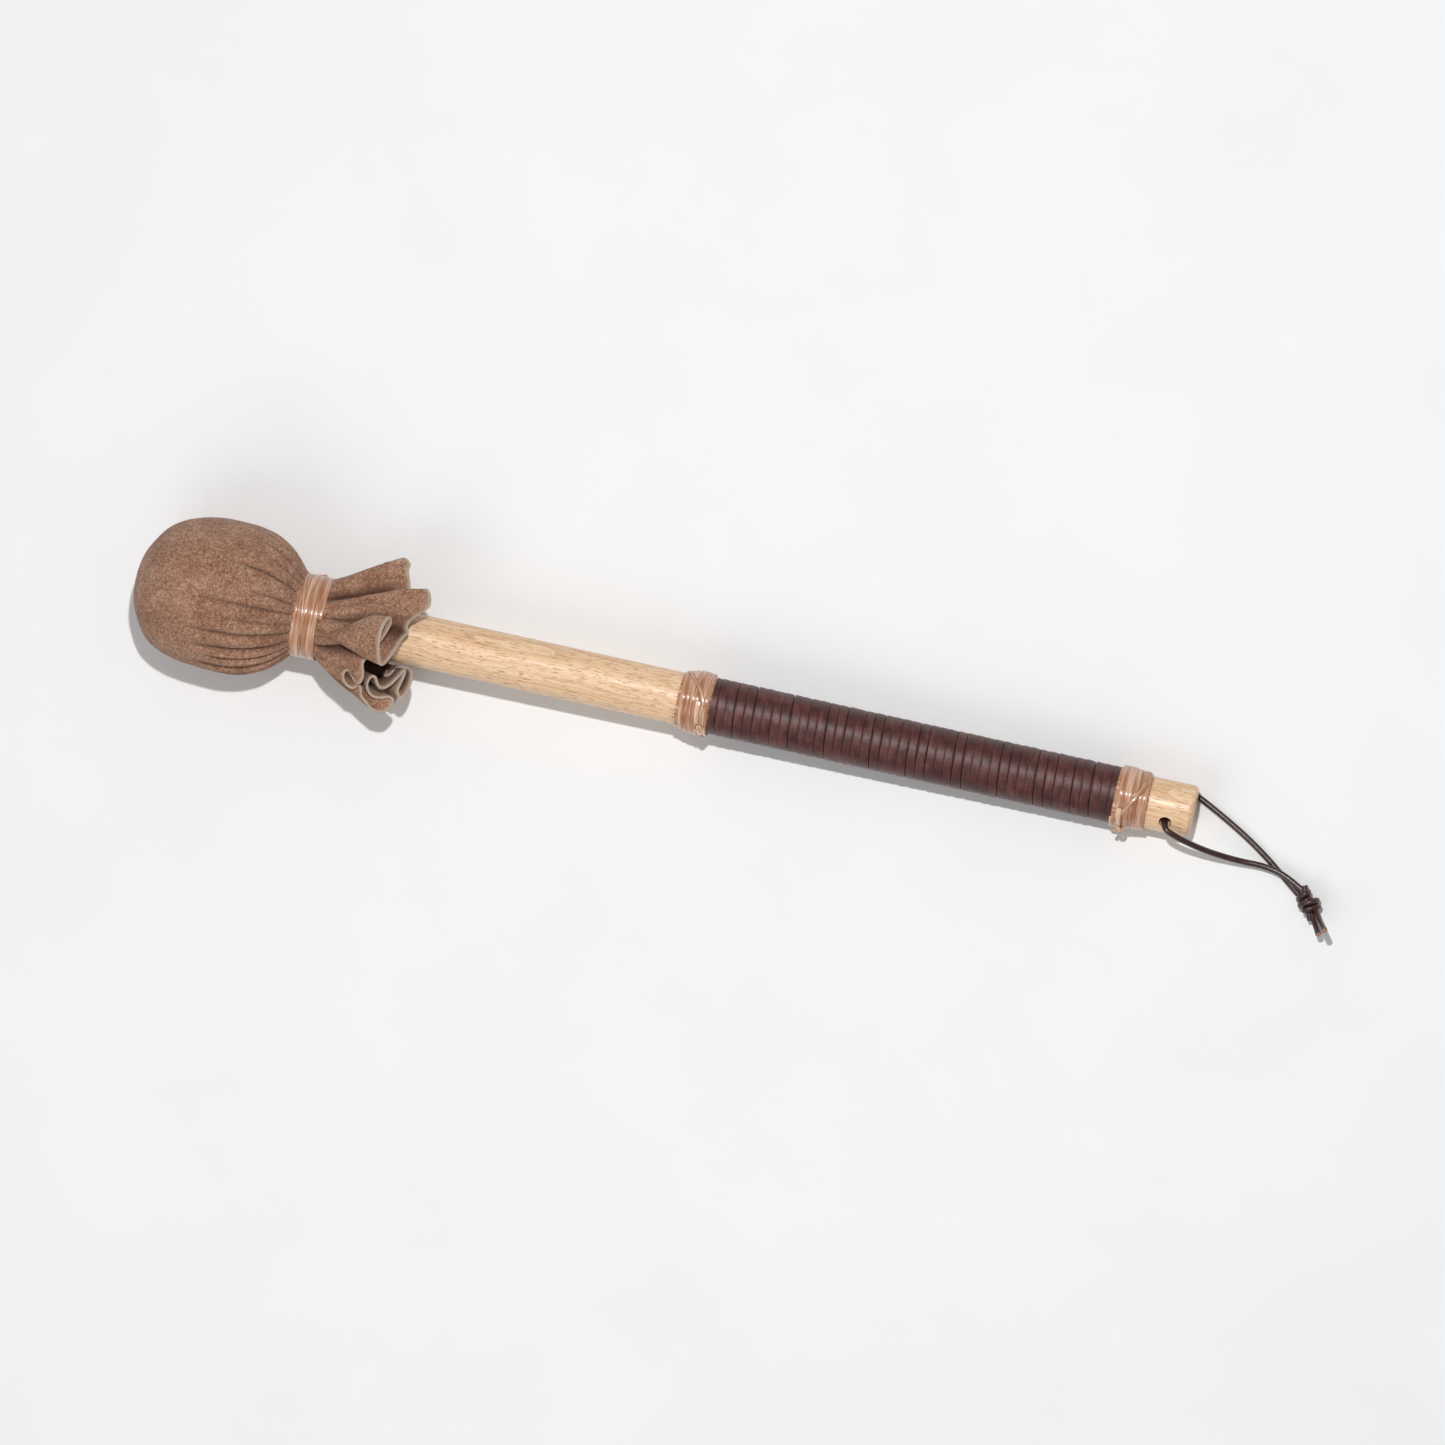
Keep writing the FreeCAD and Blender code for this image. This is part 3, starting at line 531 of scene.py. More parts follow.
def brushed_suede(name, edged=False):
    """Split hide, brushed: short fibres stand or lie in patches, so the tone wanders and speckles, with no
    gloss, only a soft sheen. Folds and creases (mark 'fold') get painted shade, darker and redder; a cut edge
    (mark 'edge') is pale."""
    tone = colours()
    material, tree, shader, where, _ = finish(name)
    patches = mottle(tree, where, 11.0, detail=4.0)
    nap = mottle(tree, where, 1.6, detail=5.0, rough=0.7)
    # the real fibres are 0.1 mm; they are drawn 0.45 mm so that they show
    fibres = mottle(tree, where, 0.45, detail=2.0, rough=0.6)
    mixed = weighted(tree, (patches, 0.16), (nap, 0.34), (fibres, 0.50))
    skin = node(tree, "ShaderNodeValToRGB", {"Fac": mixed}, stops=(
        (0.2, tone.suede_dark), (0.5, tone.suede), (0.82, tone.suede_light))).outputs["Color"]
    # painted shade: a point mark darkens and reddens the suede in folds and creases
    fold = node(tree, "ShaderNodeAttribute", attribute_name="fold").outputs["Fac"]
    skin = node(tree, "ShaderNodeMix", {0: fold, 6: skin, 7: tone.suede_fold}, data_type="RGBA").outputs[2]
    if edged:
        edge = node(tree, "ShaderNodeAttribute", attribute_name="edge").outputs["Fac"]
        fuzzy = weighted(tree, (nap, 0.35), start=0.75)
        share = node(tree, "ShaderNodeMath", {0: edge, 1: fuzzy}, operation="MULTIPLY", use_clamp=True)
        skin = node(tree, "ShaderNodeMix", {0: share.outputs[0], 6: skin, 7: tone.suede_edge},
                    data_type="RGBA").outputs[2]
    connect(tree, shader, {"Base Color": skin, "Roughness": 0.92, "IOR": 1.45, "Specular IOR Level": 0.25,
                           "Sheen Weight": 0.12, "Sheen Roughness": 0.45})
    bumps(tree, shader, (nap, 0.22), (fibres, 0.12))
    return material


def oiled_oak(name):
    """Turned hardwood, sanded and oiled: growth rings 2 mm apart cut along the stick into long streaks, short
    open pores, and a low satin gloss."""
    tone = colours()
    material, tree, shader, where, _ = finish(name)
    where = node(tree, "ShaderNodeMapping", {"Vector": where, "Rotation": (0.0, -sizes().lean, 0.0)})
    where = where.outputs["Vector"]
    sway = node(tree, "ShaderNodeTexNoise", {"Vector": where, "Scale": 0.02, "Detail": 2.0}).outputs["Color"]
    swayed = node(tree, "ShaderNodeVectorMath", {0: sway, 1: (4.0, 9.0, 9.0), 2: where},
                  operation="MULTIPLY_ADD").outputs["Vector"]
    centred = node(tree, "ShaderNodeMapping", {"Vector": swayed, "Location": (0.0, 26.0, 17.0),
                                               "Scale": (0.03, 1.0, 1.0)}).outputs["Vector"]
    # a wave of scale 1 repeats every 0.314 units, so rings 2.1 mm apart need 0.15
    rings = node(tree, "ShaderNodeTexWave",
                 {"Vector": centred, "Scale": 0.15, "Distortion": 2.5, "Detail": 2.0, "Detail Scale": 0.5},
                 wave_type="RINGS", rings_direction="X", wave_profile="SAW").outputs["Fac"]
    streaks = mottle(tree, where, 1.0, detail=4.0, scale=(0.02, 1.3, 1.3))
    pores = mottle(tree, where, 0.5, detail=1.0, scale=(0.11, 1.0, 1.0))
    pores = node(tree, "ShaderNodeMapRange", {"Value": pores, "From Min": 0.72, "From Max": 0.95})
    pores = pores.outputs["Result"]
    grain = node(tree, "ShaderNodeValToRGB", {"Fac": weighted(tree, (rings, 0.5), (streaks, 0.55))}, stops=(
        (0.1, tone.oak_pale), (0.5, tone.oak), (0.95, tone.oak_dark))).outputs["Color"]
    wood = node(tree, "ShaderNodeMix", {0: pores, 6: grain, 7: tone.oak_pore}, data_type="RGBA").outputs[2]
    connect(tree, shader, {"Base Color": wood, "Roughness": 0.42, "IOR": 1.5, "Coat Weight": 0.15,
                           "Coat Roughness": 0.25})
    bumps(tree, shader, (weighted(tree, (pores, -1.0), start=1.0), 0.06), (streaks, 0.03))
    return material


def dyed_lace(name):
    """Full-grain leather lace, dyed and waxed: a satin face with fine pebbles, rubbed lighter here and there,
    stretched lengthwise where it was pulled tight, with painted shade on its two cut edges and underside,
    down between two turns."""
    tone = colours()
    material, tree, shader, where, round_section = finish(name)
    pebbles, wear = mottle(tree, where, 0.7), mottle(tree, where, 7.0)
    pulled = mottle(tree, round_section, 1.0, scale=(1.2, 0.14, 1.0))
    rubbed = weighted(tree, (wear, 0.45), (pulled, 0.35), (pebbles, 0.25))
    dye = node(tree, "ShaderNodeValToRGB", {"Fac": rubbed}, stops=(
        (0.15, tone.lace_dark), (0.5, tone.lace), (0.95, tone.lace_worn))).outputs["Color"]
    # UVs run once round the section: its top is where their sine is 1, its two edges where it is 0
    across = node(tree, "ShaderNodeSeparateXYZ", {"Vector": round_section}).outputs["X"]
    angle = weighted(tree, (across, 2 * math.pi / SECTION_UV))
    height = node(tree, "ShaderNodeMath", {0: angle}, operation="SINE").outputs[0]
    # painted shade where the section turns down to its edges and underside, in the seams between turns
    cut = node(tree, "ShaderNodeMapRange", {"Value": height, "From Min": 0.62, "From Max": 0.2})
    lace = node(tree, "ShaderNodeMix", {0: cut.outputs["Result"], 6: dye, 7: tone.lace_edge},
                data_type="RGBA").outputs[2]
    connect(tree, shader, {"Base Color": lace, "Roughness": 0.41, "IOR": 1.5, "Specular IOR Level": 0.4,
                           "Coat Weight": 0.08, "Coat Roughness": 0.35})
    bumps(tree, shader, (pebbles, 0.08), (pulled, 0.06))
    return material


def waxed_sinew(name, loose=False):
    """Waxed sinew, flat and fibrous: clear amber where it lies thick, cream where its fibres split, with a
    waxy gloss that follows the fibres. A loose end is thinner and paler."""
    tone = colours()
    material, tree, shader, _, lengthwise = finish(name)
    # split fibres are 0.1 mm wide; they are drawn 0.4 mm so that they show
    fibres = mottle(tree, lengthwise, 1.0, detail=2.0, rough=0.6, scale=(2.4, 0.05, 1.0))
    strands = mottle(tree, lengthwise, 1.0, detail=1.0, scale=(0.45, 0.035, 1.0))
    mixed = weighted(tree, (strands, 0.6), (fibres, 0.5), start=0.35 if loose else 0.0)
    amber = node(tree, "ShaderNodeValToRGB", {"Fac": mixed}, stops=(
        (0.1, tone.sinew_dark), (0.5, tone.sinew), (0.95, tone.sinew_pale))).outputs["Color"]
    connect(tree, shader, {"Base Color": amber, "Roughness": 0.26, "IOR": 1.47, "Subsurface Weight": 0.2,
                           "Subsurface Radius": (1.0, 0.5, 0.25), "Subsurface Scale": 0.8 * MM,
                           "Coat Weight": 0.4, "Coat Roughness": 0.14})
    bumps(tree, shader, (fibres, 0.07))
    return material


def round_leather(name):
    """Round leather cord, dyed and burnished: near-black brown with a tight gloss and faint creases."""
    tone = colours()
    material, tree, shader, where, _ = finish(name)
    grain, tones = mottle(tree, where, 0.6), mottle(tree, where, 4.0, detail=2.0)
    dye = node(tree, "ShaderNodeValToRGB", {"Fac": weighted(tree, (grain, tones))}, stops=(
        (0.05, tone.cord), (0.9, tone.cord_worn))).outputs["Color"]
    connect(tree, shader, {"Base Color": dye, "Roughness": 0.32, "IOR": 1.5, "Coat Weight": 0.22,
                           "Coat Roughness": 0.2})
    bumps(tree, shader, (grain, 0.06))
    return material


def cut_leather(name):
    """Freshly cut end of dyed leather cord: matt and fibrous, the dye only skin deep."""
    material, tree, shader, where, _ = finish(name)
    fibres = mottle(tree, where, 0.4)
    core = node(tree, "ShaderNodeValToRGB", {"Fac": fibres}, stops=(
        (0.1, colours().cord_core), (0.9, colours().cord_cut))).outputs["Color"]
    connect(tree, shader, {"Base Color": core, "Roughness": 0.9})
    bumps(tree, shader, (fibres, 0.1))
    return material


def pressed_wool(name, fibre_mm, dark, pale):
    """Wool, felted or carded: matt off-white with fine tangled fibres."""
    material, tree, shader, where, _ = finish(name)
    fibres, lumps = mottle(tree, where, fibre_mm, detail=4.0, rough=0.7), mottle(tree, where, 6.0)
    fleece = node(tree, "ShaderNodeValToRGB", {"Fac": weighted(tree, (fibres, lumps))}, stops=(
        (0.0, dark), (0.8, pale))).outputs["Color"]
    connect(tree, shader, {"Base Color": fleece, "Roughness": 0.95, "Sheen Weight": 0.2})
    bumps(tree, shader, (fibres, 0.3))
    return material


def waxed_twine(name):
    """Two-ply twine, waxed: pale brown, its twist showing as fine slanted ridges 0.8 mm apart."""
    tone = colours()
    material, tree, shader, where, _ = finish(name)
    ply = node(tree, "ShaderNodeTexWave", {"Vector": where, "Scale": 0.39, "Distortion": 1.5},
               bands_direction="DIAGONAL").outputs["Fac"]
    flax = node(tree, "ShaderNodeValToRGB", {"Fac": ply}, stops=(
        (0.1, tone.twine_dark), (0.9, tone.twine))).outputs["Color"]
    connect(tree, shader, {"Base Color": flax, "Roughness": 0.6})
    bumps(tree, shader, (ply, 0.15))
    return material


def studio_floor(name):
    """Matt white board, seamless: flat, with the faintest mottle."""
    material, tree, shader, where, _ = finish(name)
    board = node(tree, "ShaderNodeValToRGB", {"Fac": mottle(tree, where, 90.0)}, stops=(
        (0.0, colours().floor_dark), (1.0, colours().floor))).outputs["Color"]
    connect(tree, shader, {"Base Color": board, "Roughness": 0.85, "Specular IOR Level": 0.2})
    return material


def material_for(maker, *values):
    """The material of that maker's name, made once and shared."""
    name = "_".join(["beater", maker.__name__] + [str(value) for value in values]).replace("#", "")
    return bpy.data.materials.get(name) or maker(name, *values)


# ----------------------------------------------------------------------------------------------- pieces

def nurbs_cord(name, route):
    """Round cord whose centre line is a smooth spline with the route's points as its control points."""
    curve = bpy.data.curves.new(name, "CURVE")
    curve.dimensions = "3D"
    curve.bevel_depth = sizes().cord_diameter * MM / 2
    curve.bevel_resolution = 5
    curve.resolution_u = curve.render_resolution_u = 16
    curve.use_fill_caps = True
    spline = curve.splines.new("NURBS")
    spline.points.add(len(route) - 1)
    for point, place in zip(spline.points, route):
        point.co = (*(value * MM for value in place), 1.0)
    spline.order_u = 3
    spline.use_endpoint_u = True
    curve.materials.append(material_for(round_leather))
    piece = bpy.data.objects.new(name, curve)
    bpy.context.scene.collection.objects.link(piece)
    return piece


def line_of(piece):
    """Points along a curve piece's own line, in metres."""
    bare = piece.data.copy()
    bare.bevel_depth = 0.0
    holder = bpy.data.objects.new("line", bare)
    mesh = bpy.data.meshes.new_from_object(holder)
    points = np.empty(len(mesh.vertices) * 3, np.float32)
    mesh.vertices.foreach_get("co", points)
    bpy.data.objects.remove(holder)
    bpy.data.meshes.remove(mesh)
    return points.reshape(-1, 3).astype(float)


def knot_frame():
    """Axes of the loop's knot: along it towards the tails, across it, and up."""
    along = np.array(KNOT_AXIS) / np.linalg.norm(KNOT_AXIS)
    across = np.cross((0.0, 0.0, 1.0), along)
    return np.stack((along, across, np.cross(along, across)))


def overhand(side, core):
    """One strand of the double overhand knot, in metres. In the core it runs straight along the knot; outside
    it comes in, winds nearly one and a half times round the core beside the other strand and goes back in.
    side is -1 or 1."""
    share = np.linspace(0.0, 1.0, 141)
    if core:
        along, reach, angle = -8.5 + 17.0 * share, 1.45 + 0 * share, math.pi / 2 * side + 1.1 * share
    else:
        swing = smooth_step(share, 0.0, 0.14) - smooth_step(share, 0.86, 1.0)
        along = -3.0 + 1.55 * side + 6.0 * share - 0.9 * np.cos(2 * math.pi * share)
        reach, angle = 1.2 + 2.9 * swing, 2.9 * math.pi * share + 0.5
    local = np.stack((along, reach * np.cos(angle), reach * np.sin(angle) * 0.95), axis=-1)
    return (np.array(KNOT_CENTRE) + local @ knot_frame()) * MM


def tail(name, route):
    """A cord's end past the knot, along a smooth curve through its route."""
    path = through(np.array(route) * MM, np.linspace(0, len(route) - 1, 48))
    return tube(name, path, sizes().cord_diameter * MM / 2,
                (material_for(round_leather), material_for(cut_leather)))


def cloth_shell(points, thick):
    """Skin of a sheet whose middle surface is points (rows from root to rim, columns round), in metres: half
    the thickness to each side along the surface's normal, and a half-round rim. The rows come back to their
    start, so the skin is closed. Returns its points and how much each row is on the rim."""
    down = np.gradient(points, axis=0)
    padded = np.concatenate((points[:, -2:], points, points[:, :2]), axis=1)
    around = np.gradient(padded, axis=1)[:, 2:-2]
    normal = np.cross(around, down)
    normal /= np.linalg.norm(normal, axis=2, keepdims=True)
    out_rim = down[-1] / np.linalg.norm(down[-1], axis=1, keepdims=True)
    half = thick * MM / 2
    bend = np.linspace(0, math.pi, 7)[1:-1, None, None]
    rim = points[-1] + half * (np.cos(bend) * normal[-1] + 0.6 * np.sin(bend) * out_rim)
    skin = np.concatenate((points + half * normal, rim, (points - half * normal)[::-1]))
    edge = np.zeros(len(skin))
    rows = len(points)
    edge[rows:rows + len(rim)] = 1.0
    edge[[rows - 1, rows + len(rim)]] = 1.0
    edge[[rows - 2, rows + len(rim) + 1]] = 0.25
    return skin, edge[:, None]


def rim_points():
    """The skirt's rim as (turn in radians, reach, station): the shown folds one by one, then the rest as
    lobes of six points each, swung out from foot to crest and back with the crest leant to one side."""
    rest = np.array([(centre + lean * share + width * side, foot + (crest - foot) * rise,
                      station + drop * rise)
                     for centre, width, foot, crest, station, drop, lean in HIDDEN_LOBES
                     for side, rise, share in LOBE_SHAPE])
    points = np.concatenate((np.array(SHOWN_RIM, float), rest))
    points[:, 0] = np.radians(points[:, 0])
    return points


def neck_turns():
    """Turns at which the rim's points leave the neck, one each and the first again: the shown folds by their
    table, the lobes behind by their middles, smoothed by a running mean of five."""
    shown = np.interp(np.arange(len(SHOWN_RIM)), *np.array(NECK_TURNS).T)
    rest = np.array([centre + 0.6 * width * side for centre, width, *_ in HIDDEN_LOBES
                     for side, *_ in LOBE_SHAPE])
    turns = np.maximum.accumulate(np.radians(np.concatenate((shown, rest))))
    full = 2 * math.pi
    around = np.concatenate((turns[-2:] - full, turns, turns[:3] + full))
    return np.convolve(around, np.full(5, 0.2), "valid")


def even_round(points, count):
    """count points evenly spaced along the closed smooth curve through points, given as (turn, reach,
    station); the spacing is measured in space. Returns them and where each lies among the given points."""
    where = np.linspace(0, len(points), 6000, endpoint=False)
    dense = unwrapped_round(points, where)
    place = on_stick(dense[:, 2], dense[:, 0], dense[:, 1])
    steps = np.linalg.norm(np.diff(np.concatenate((place, place[:1])), axis=0), axis=1)
    travelled = np.concatenate(([0.0], np.cumsum(steps)))
    even = np.interp(np.linspace(0, travelled[-1], count, endpoint=False), travelled,
                     np.concatenate((where, [len(points)])))
    return unwrapped_round(points, even), even


def unwrapped_round(points, where):
    """The closed smooth curve through points whose turn grows by a full turn from the last to the first."""
    whole = np.concatenate((points[-2:] - (2 * math.pi, 0, 0), points, points[:3] + (2 * math.pi, 0, 0)))
    return _cubic(whole[1:], where, len(points) + 1)


def winding_path(turns, per_turn=56):
    """Angles of a winding: an even run from 0 to its number of turns, in radians."""
    return np.linspace(0, 2 * math.pi * turns, int(turns * per_turn) + 1)


def sinew_knot(name, station, turn, reach, spread, flat=0.8):
    """A small overhand knot drawn tight: the curve (sin t + 2 sin 2t, cos t - 2 cos 2t, -sin 3t), opened at
    one side, its ends led out along the stick."""
    t = np.linspace(0.35, 2 * math.pi - 0.35, 120)
    x, y, z = np.sin(t) + 2 * np.sin(2 * t), np.cos(t) - 2 * np.cos(2 * t), -np.sin(3 * t)
    place = on_stick(station + spread * x / 3, turn + spread * y / 3 / reach, reach + flat * z)
    return tube(name, place, 0.8 * MM, (material_for(waxed_sinew, True),), sides=10, flatness=0.75)


# -------------------------------------------------------------------------------------------- operators

class BEATER_OT_stage(bpy.types.Operator):
    """Camera, lights and floor."""
    bl_idname = "beater.stage"
    bl_label = "Stage"

    def execute(self, context):
        stage = context.scene.beater_stage
        back = Vector((math.sin(stage.view_tilt), 0.0, math.cos(stage.view_tilt)))
        along = Vector((math.cos(stage.view_tilt), 0.0, -math.sin(stage.view_tilt)))
        across = Vector((0.0, 1.0, 0.0))
        right = along * math.cos(stage.view_roll) + across * math.sin(stage.view_roll)
        up = across * math.cos(stage.view_roll) - along * math.sin(stage.view_roll)
        lens = bpy.data.cameras.new("camera")
        lens.sensor_width = SENSOR_WIDTH
        lens.lens = SENSOR_WIDTH * stage.view_distance / stage.view_width
        lens.clip_end = 4 * stage.view_distance
        camera = bpy.data.objects.new("camera", lens)
        place = Vector(stage.view_target) + back * stage.view_distance
        camera.matrix_world = Matrix.Translation(place) @ Matrix((right, up, back)).transposed().to_4x4()
        context.scene.collection.objects.link(camera)
        context.scene.camera = camera
        for name, place, side, power in (
                ("key", stage.key_place, stage.key_side, stage.key_power),
                ("fill", stage.fill_place, stage.fill_side, stage.fill_power)):
            lamp = bpy.data.lights.new(name, "AREA")
            lamp.shape, lamp.size, lamp.energy = "DISK", side, power
            holder = bpy.data.objects.new(name, lamp)
            holder.location = place
            holder.rotation_euler = (-Vector(place)).to_track_quat("-Z", "Y").to_euler()
            context.scene.collection.objects.link(holder)
        context.scene.view_settings.view_transform = "Standard"
        world = context.scene.world or bpy.data.worlds.new("world")
        context.scene.world = world
        world.use_nodes = True
        background = next(item for item in world.node_tree.nodes if item.type == "BACKGROUND")
        background.inputs["Color"].default_value = linear(colours().surroundings)
        background.inputs["Strength"].default_value = stage.surround_power
        mesh = bpy.data.meshes.new("floor")
        mesh.from_pydata([(-4, -4, 0), (4, -4, 0), (4, 4, 0), (-4, 4, 0)], [], [(0, 1, 2, 3)])
        mesh.materials.append(material_for(studio_floor))
        floor = bpy.data.objects.new("floor", mesh)
        context.scene.collection.objects.link(floor)
        return {"FINISHED"}


class BEATER_OT_loop(bpy.types.Operator):
    """Leather loop: two strands from the cross hole to the knot, the knot and both tails."""
    bl_idname = "beater.loop"
    bl_label = "Hanging loop"

    def execute(self, context):
        diameter = sizes().cord_diameter * MM
        knot = joined("loop_overhand_knot", [
            tube("strand", overhand(side, core), diameter / 2, (material_for(round_leather),))
            for side in (-1, 1) for core in (True, False)])
        front_end, back_end = tail("loop_end_front", FRONT_TAIL), tail("loop_end_back", BACK_TAIL)
        for piece, replaced in ((knot, "loop_knot"), (front_end, "loop_tail_front"),
                                (back_end, "loop_tail_back")):
            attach(piece, "loop")
            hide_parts(replaced)
        for name, route, replaced, goes in (
                ("loop_cord_front", FRONT_ROUTE, "loop_strand_front", [knot, front_end]),
                ("loop_cord_back", BACK_ROUTE, "loop_strand_back", [knot, back_end])):
            cord = nurbs_cord(name, route)
            line = line_of(cord)
            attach(cord, "loop")
            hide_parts(replaced)
        return {"FINISHED"}


class BEATER_OT_wood(bpy.types.Operator):
    """Finishes of the stick and of what is hidden inside the head."""
    bl_idname = "beater.wood"
    bl_label = "Stick and core"

    def execute(self, context):
        felt = material_for(pressed_wool, FELT_FIBRE, colours().felt_dark, colours().felt)
        finishes = {"handle": material_for(oiled_oak), "felt_core": felt, "end_pad": felt,
                    "padding_tie": material_for(waxed_twine)}
        for name, material in finishes.items():
            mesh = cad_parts[name].data
            mesh.materials.clear()
            mesh.materials.append(material)
        return {"FINISHED"}


class BEATER_OT_pouch(bpy.types.Operator):
    """Suede pouch over the padding, creased where it is gathered into the neck, and the wool inside it."""
    bl_idname = "beater.pouch"
    bl_label = "Pouch"

    def execute(self, context):
        turn = np.linspace(-math.pi, math.pi, POUCH_COLUMNS, endpoint=False)[None, :]
        outline = through(np.array(POUCH_OUTLINE), np.linspace(0, len(POUCH_OUTLINE) - 1, POUCH_ROWS)[1:])
        station, reach = outline[:, :1] + 0 * turn, outline[:, 1:] + 0 * turn
        fold, push = np.zeros_like(station), np.zeros_like(station)
        for at, drift, fade, depth, width in POUCH_CREASES:
            rise = smooth_step(station, fade, fade + 0.5 * (CREASE_END - fade))
            easing = 1.0 - 0.8 * smooth_step(station, 70.0, 82.5)
            centre = math.radians(at) + math.radians(drift) * (CREASE_END - station) / CREASE_END
            away = np.abs((turn - centre + math.pi) % (2 * math.pi) - math.pi) * reach
            spread = width * (0.35 + 0.65 * reach / 37.0)
            valley = np.exp(-away / (0.42 * spread))
            ridge = np.exp(-((away - 1.15 * spread) / (0.75 * spread)) ** 2)
            push += depth * rise * easing * (0.42 * ridge - 1.1 * valley)
            # painted shade along each crease's valley, carried as a point mark on the suede
            fold = np.maximum(fold, np.clip(depth * rise / 1.5, 0, 1) * np.exp(-away / (0.24 * spread)))
        round_off = np.minimum(1.0, reach / 12.0)
        push -= (POUCH_SAG * np.sin(turn) * smooth_step(station, 0.0, 40.0)
                 * (1 - smooth_step(station, 60.0, 80.0)))
        push += (0.35 * wobble(3 * turn + 0 * station, 3, closed=True) * round_off
                 * smooth_step(station, 3, 30))
        push += 0.30 * wobble(turn * 5, 8, closed=True) * wobble(station / 9.0, 4) * round_off
        points = rest_on_floor(on_stick(station, turn, reach + push), 2.0)
        pouch = grid_mesh("suede_pouch", points, (material_for(brushed_suede),), across_mm=235.0,
                          along_mm=150.0, marks={"fold": 0.85 * fold})
        outline = through(np.array(WOOL_OUTLINE), np.linspace(0, len(WOOL_OUTLINE) - 1, 60)[1:])
        turn, gap = turn[:, ::4], (0, 0, WOOL_GAP * MM)
        points = on_stick(outline[:, :1], turn, outline[:, 1:] + 0.4 * wobble(turn * 3, 6))
        fleece = material_for(pressed_wool, WOOL_FIBRE, colours().wool_dark, colours().wool)
        wool = grid_mesh("wool_fill", rest_on_floor(points - gap, 1.0) + gap, (fleece,))
        for piece, replaced, slot in ((pouch, "suede_cover", "brown_suede"),
                                      (wool, "wool_padding", "carded_wool")):
            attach(piece, "stick")
            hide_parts(replaced)
        return {"FINISHED"}


class BEATER_OT_skirt(bpy.types.Operator):
    """Loose end of the suede below the neck: gathered so that its rim meanders in and out in deep folds."""
    bl_idname = "beater.skirt"
    bl_label = "Skirt"

    def execute(self, context):
        given = rim_points()
        rim, where = even_round(given, SKIRT_COLUMNS)
        neck_turn = np.interp(where, np.arange(len(given) + 1), neck_turns())
        share = np.linspace(0.0, 1.0, SKIRT_ROWS)[:, None]
        opening = share ** 1.15
        turn = neck_turn + (rim[:, 0] - neck_turn) * smooth_step(share, -0.15, 0.85)
        mean_reach = NECK_SKIN + 9.0 * share
        reach = NECK_SKIN + (rim[:, 1] - NECK_SKIN) * opening + 1.2 * np.sin(math.pi * share)
        pleat = RUFFLE_DEPTH * np.cos(2 * math.pi * where / RUFFLE_PITCH) * np.sin(math.pi * share) ** 2
        station = SKIRT_START + (rim[:, 2] - SKIRT_START) * share
        reach = np.maximum(reach + pleat * (reach < mean_reach + 8), FOLD_REACH)
        cleft = sum(depth * np.exp(-((where - place) / width) ** 2) for place, width, depth in VALLEYS)
        cleft = cleft * smooth_step(share, -0.1, 0.25) * (1 - smooth_step(share, 0.7, 0.98))
        reach = np.maximum(reach - cleft, FOLD_REACH)
        sink = sum(depth * smooth_step(where, first - 1, first + 1)
                   * (1 - smooth_step(where, last - 1, last + 1)) for first, last, depth in HOLLOWS)
        sunk = sink * np.sin(math.pi * share ** 1.6)
        across, upwards = reach * np.sin(turn), reach * np.cos(turn) - sunk
        turn = np.where(sunk > 0, np.arctan2(across, upwards), turn)
        reach = np.maximum(np.hypot(across, upwards), HOLLOW_REACH)
        reach = reach + 0.25 * wobble(station / 3.0 + 5 * turn, 12) * share
        points = rest_on_floor(on_stick(station, turn, reach), 1.5)
        points[..., 2] += 0.9 * MM * share
        skin, edge = cloth_shell(points, sizes().suede_thick)
        skin[..., 2] = np.maximum(skin[..., 2], 0.05 * MM)
        # painted shade: darker, redder suede where the cloth lies low near the neck, in the ruffles' valleys,
        # in the deep valleys and in the sunk hollows; carried as a point mark
        depth = np.clip((mean_reach + 1.0 - reach) / 7.0, 0, 0.8) * smooth_step(share, 0.0, 0.4)
        depth = np.maximum(depth, 0.45 * (1 - smooth_step(share, 0.1, 0.7)) * np.clip(-pleat, 0, 1))
        depth = np.maximum(depth, np.clip(cleft / 2.2, 0, 0.85))
        depth = np.maximum(depth, np.clip(sink / 6.0, 0, 0.95) * smooth_step(share, 0.2, 0.5)
                           * (1 - smooth_step(share, 0.86, 0.96)))
        fold = np.concatenate((depth, np.repeat(depth[-1:], len(skin) - 2 * SKIRT_ROWS, axis=0), depth[::-1]))
        skirt = grid_mesh("suede_skirt", skin, (material_for(brushed_suede, True),), across_mm=600.0,
                          along_mm=90.0, marks={"edge": edge + 0 * fold, "fold": fold}, endless=True)
        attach(skirt, "stick")
        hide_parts("suede_cover")
        return {"FINISHED"}


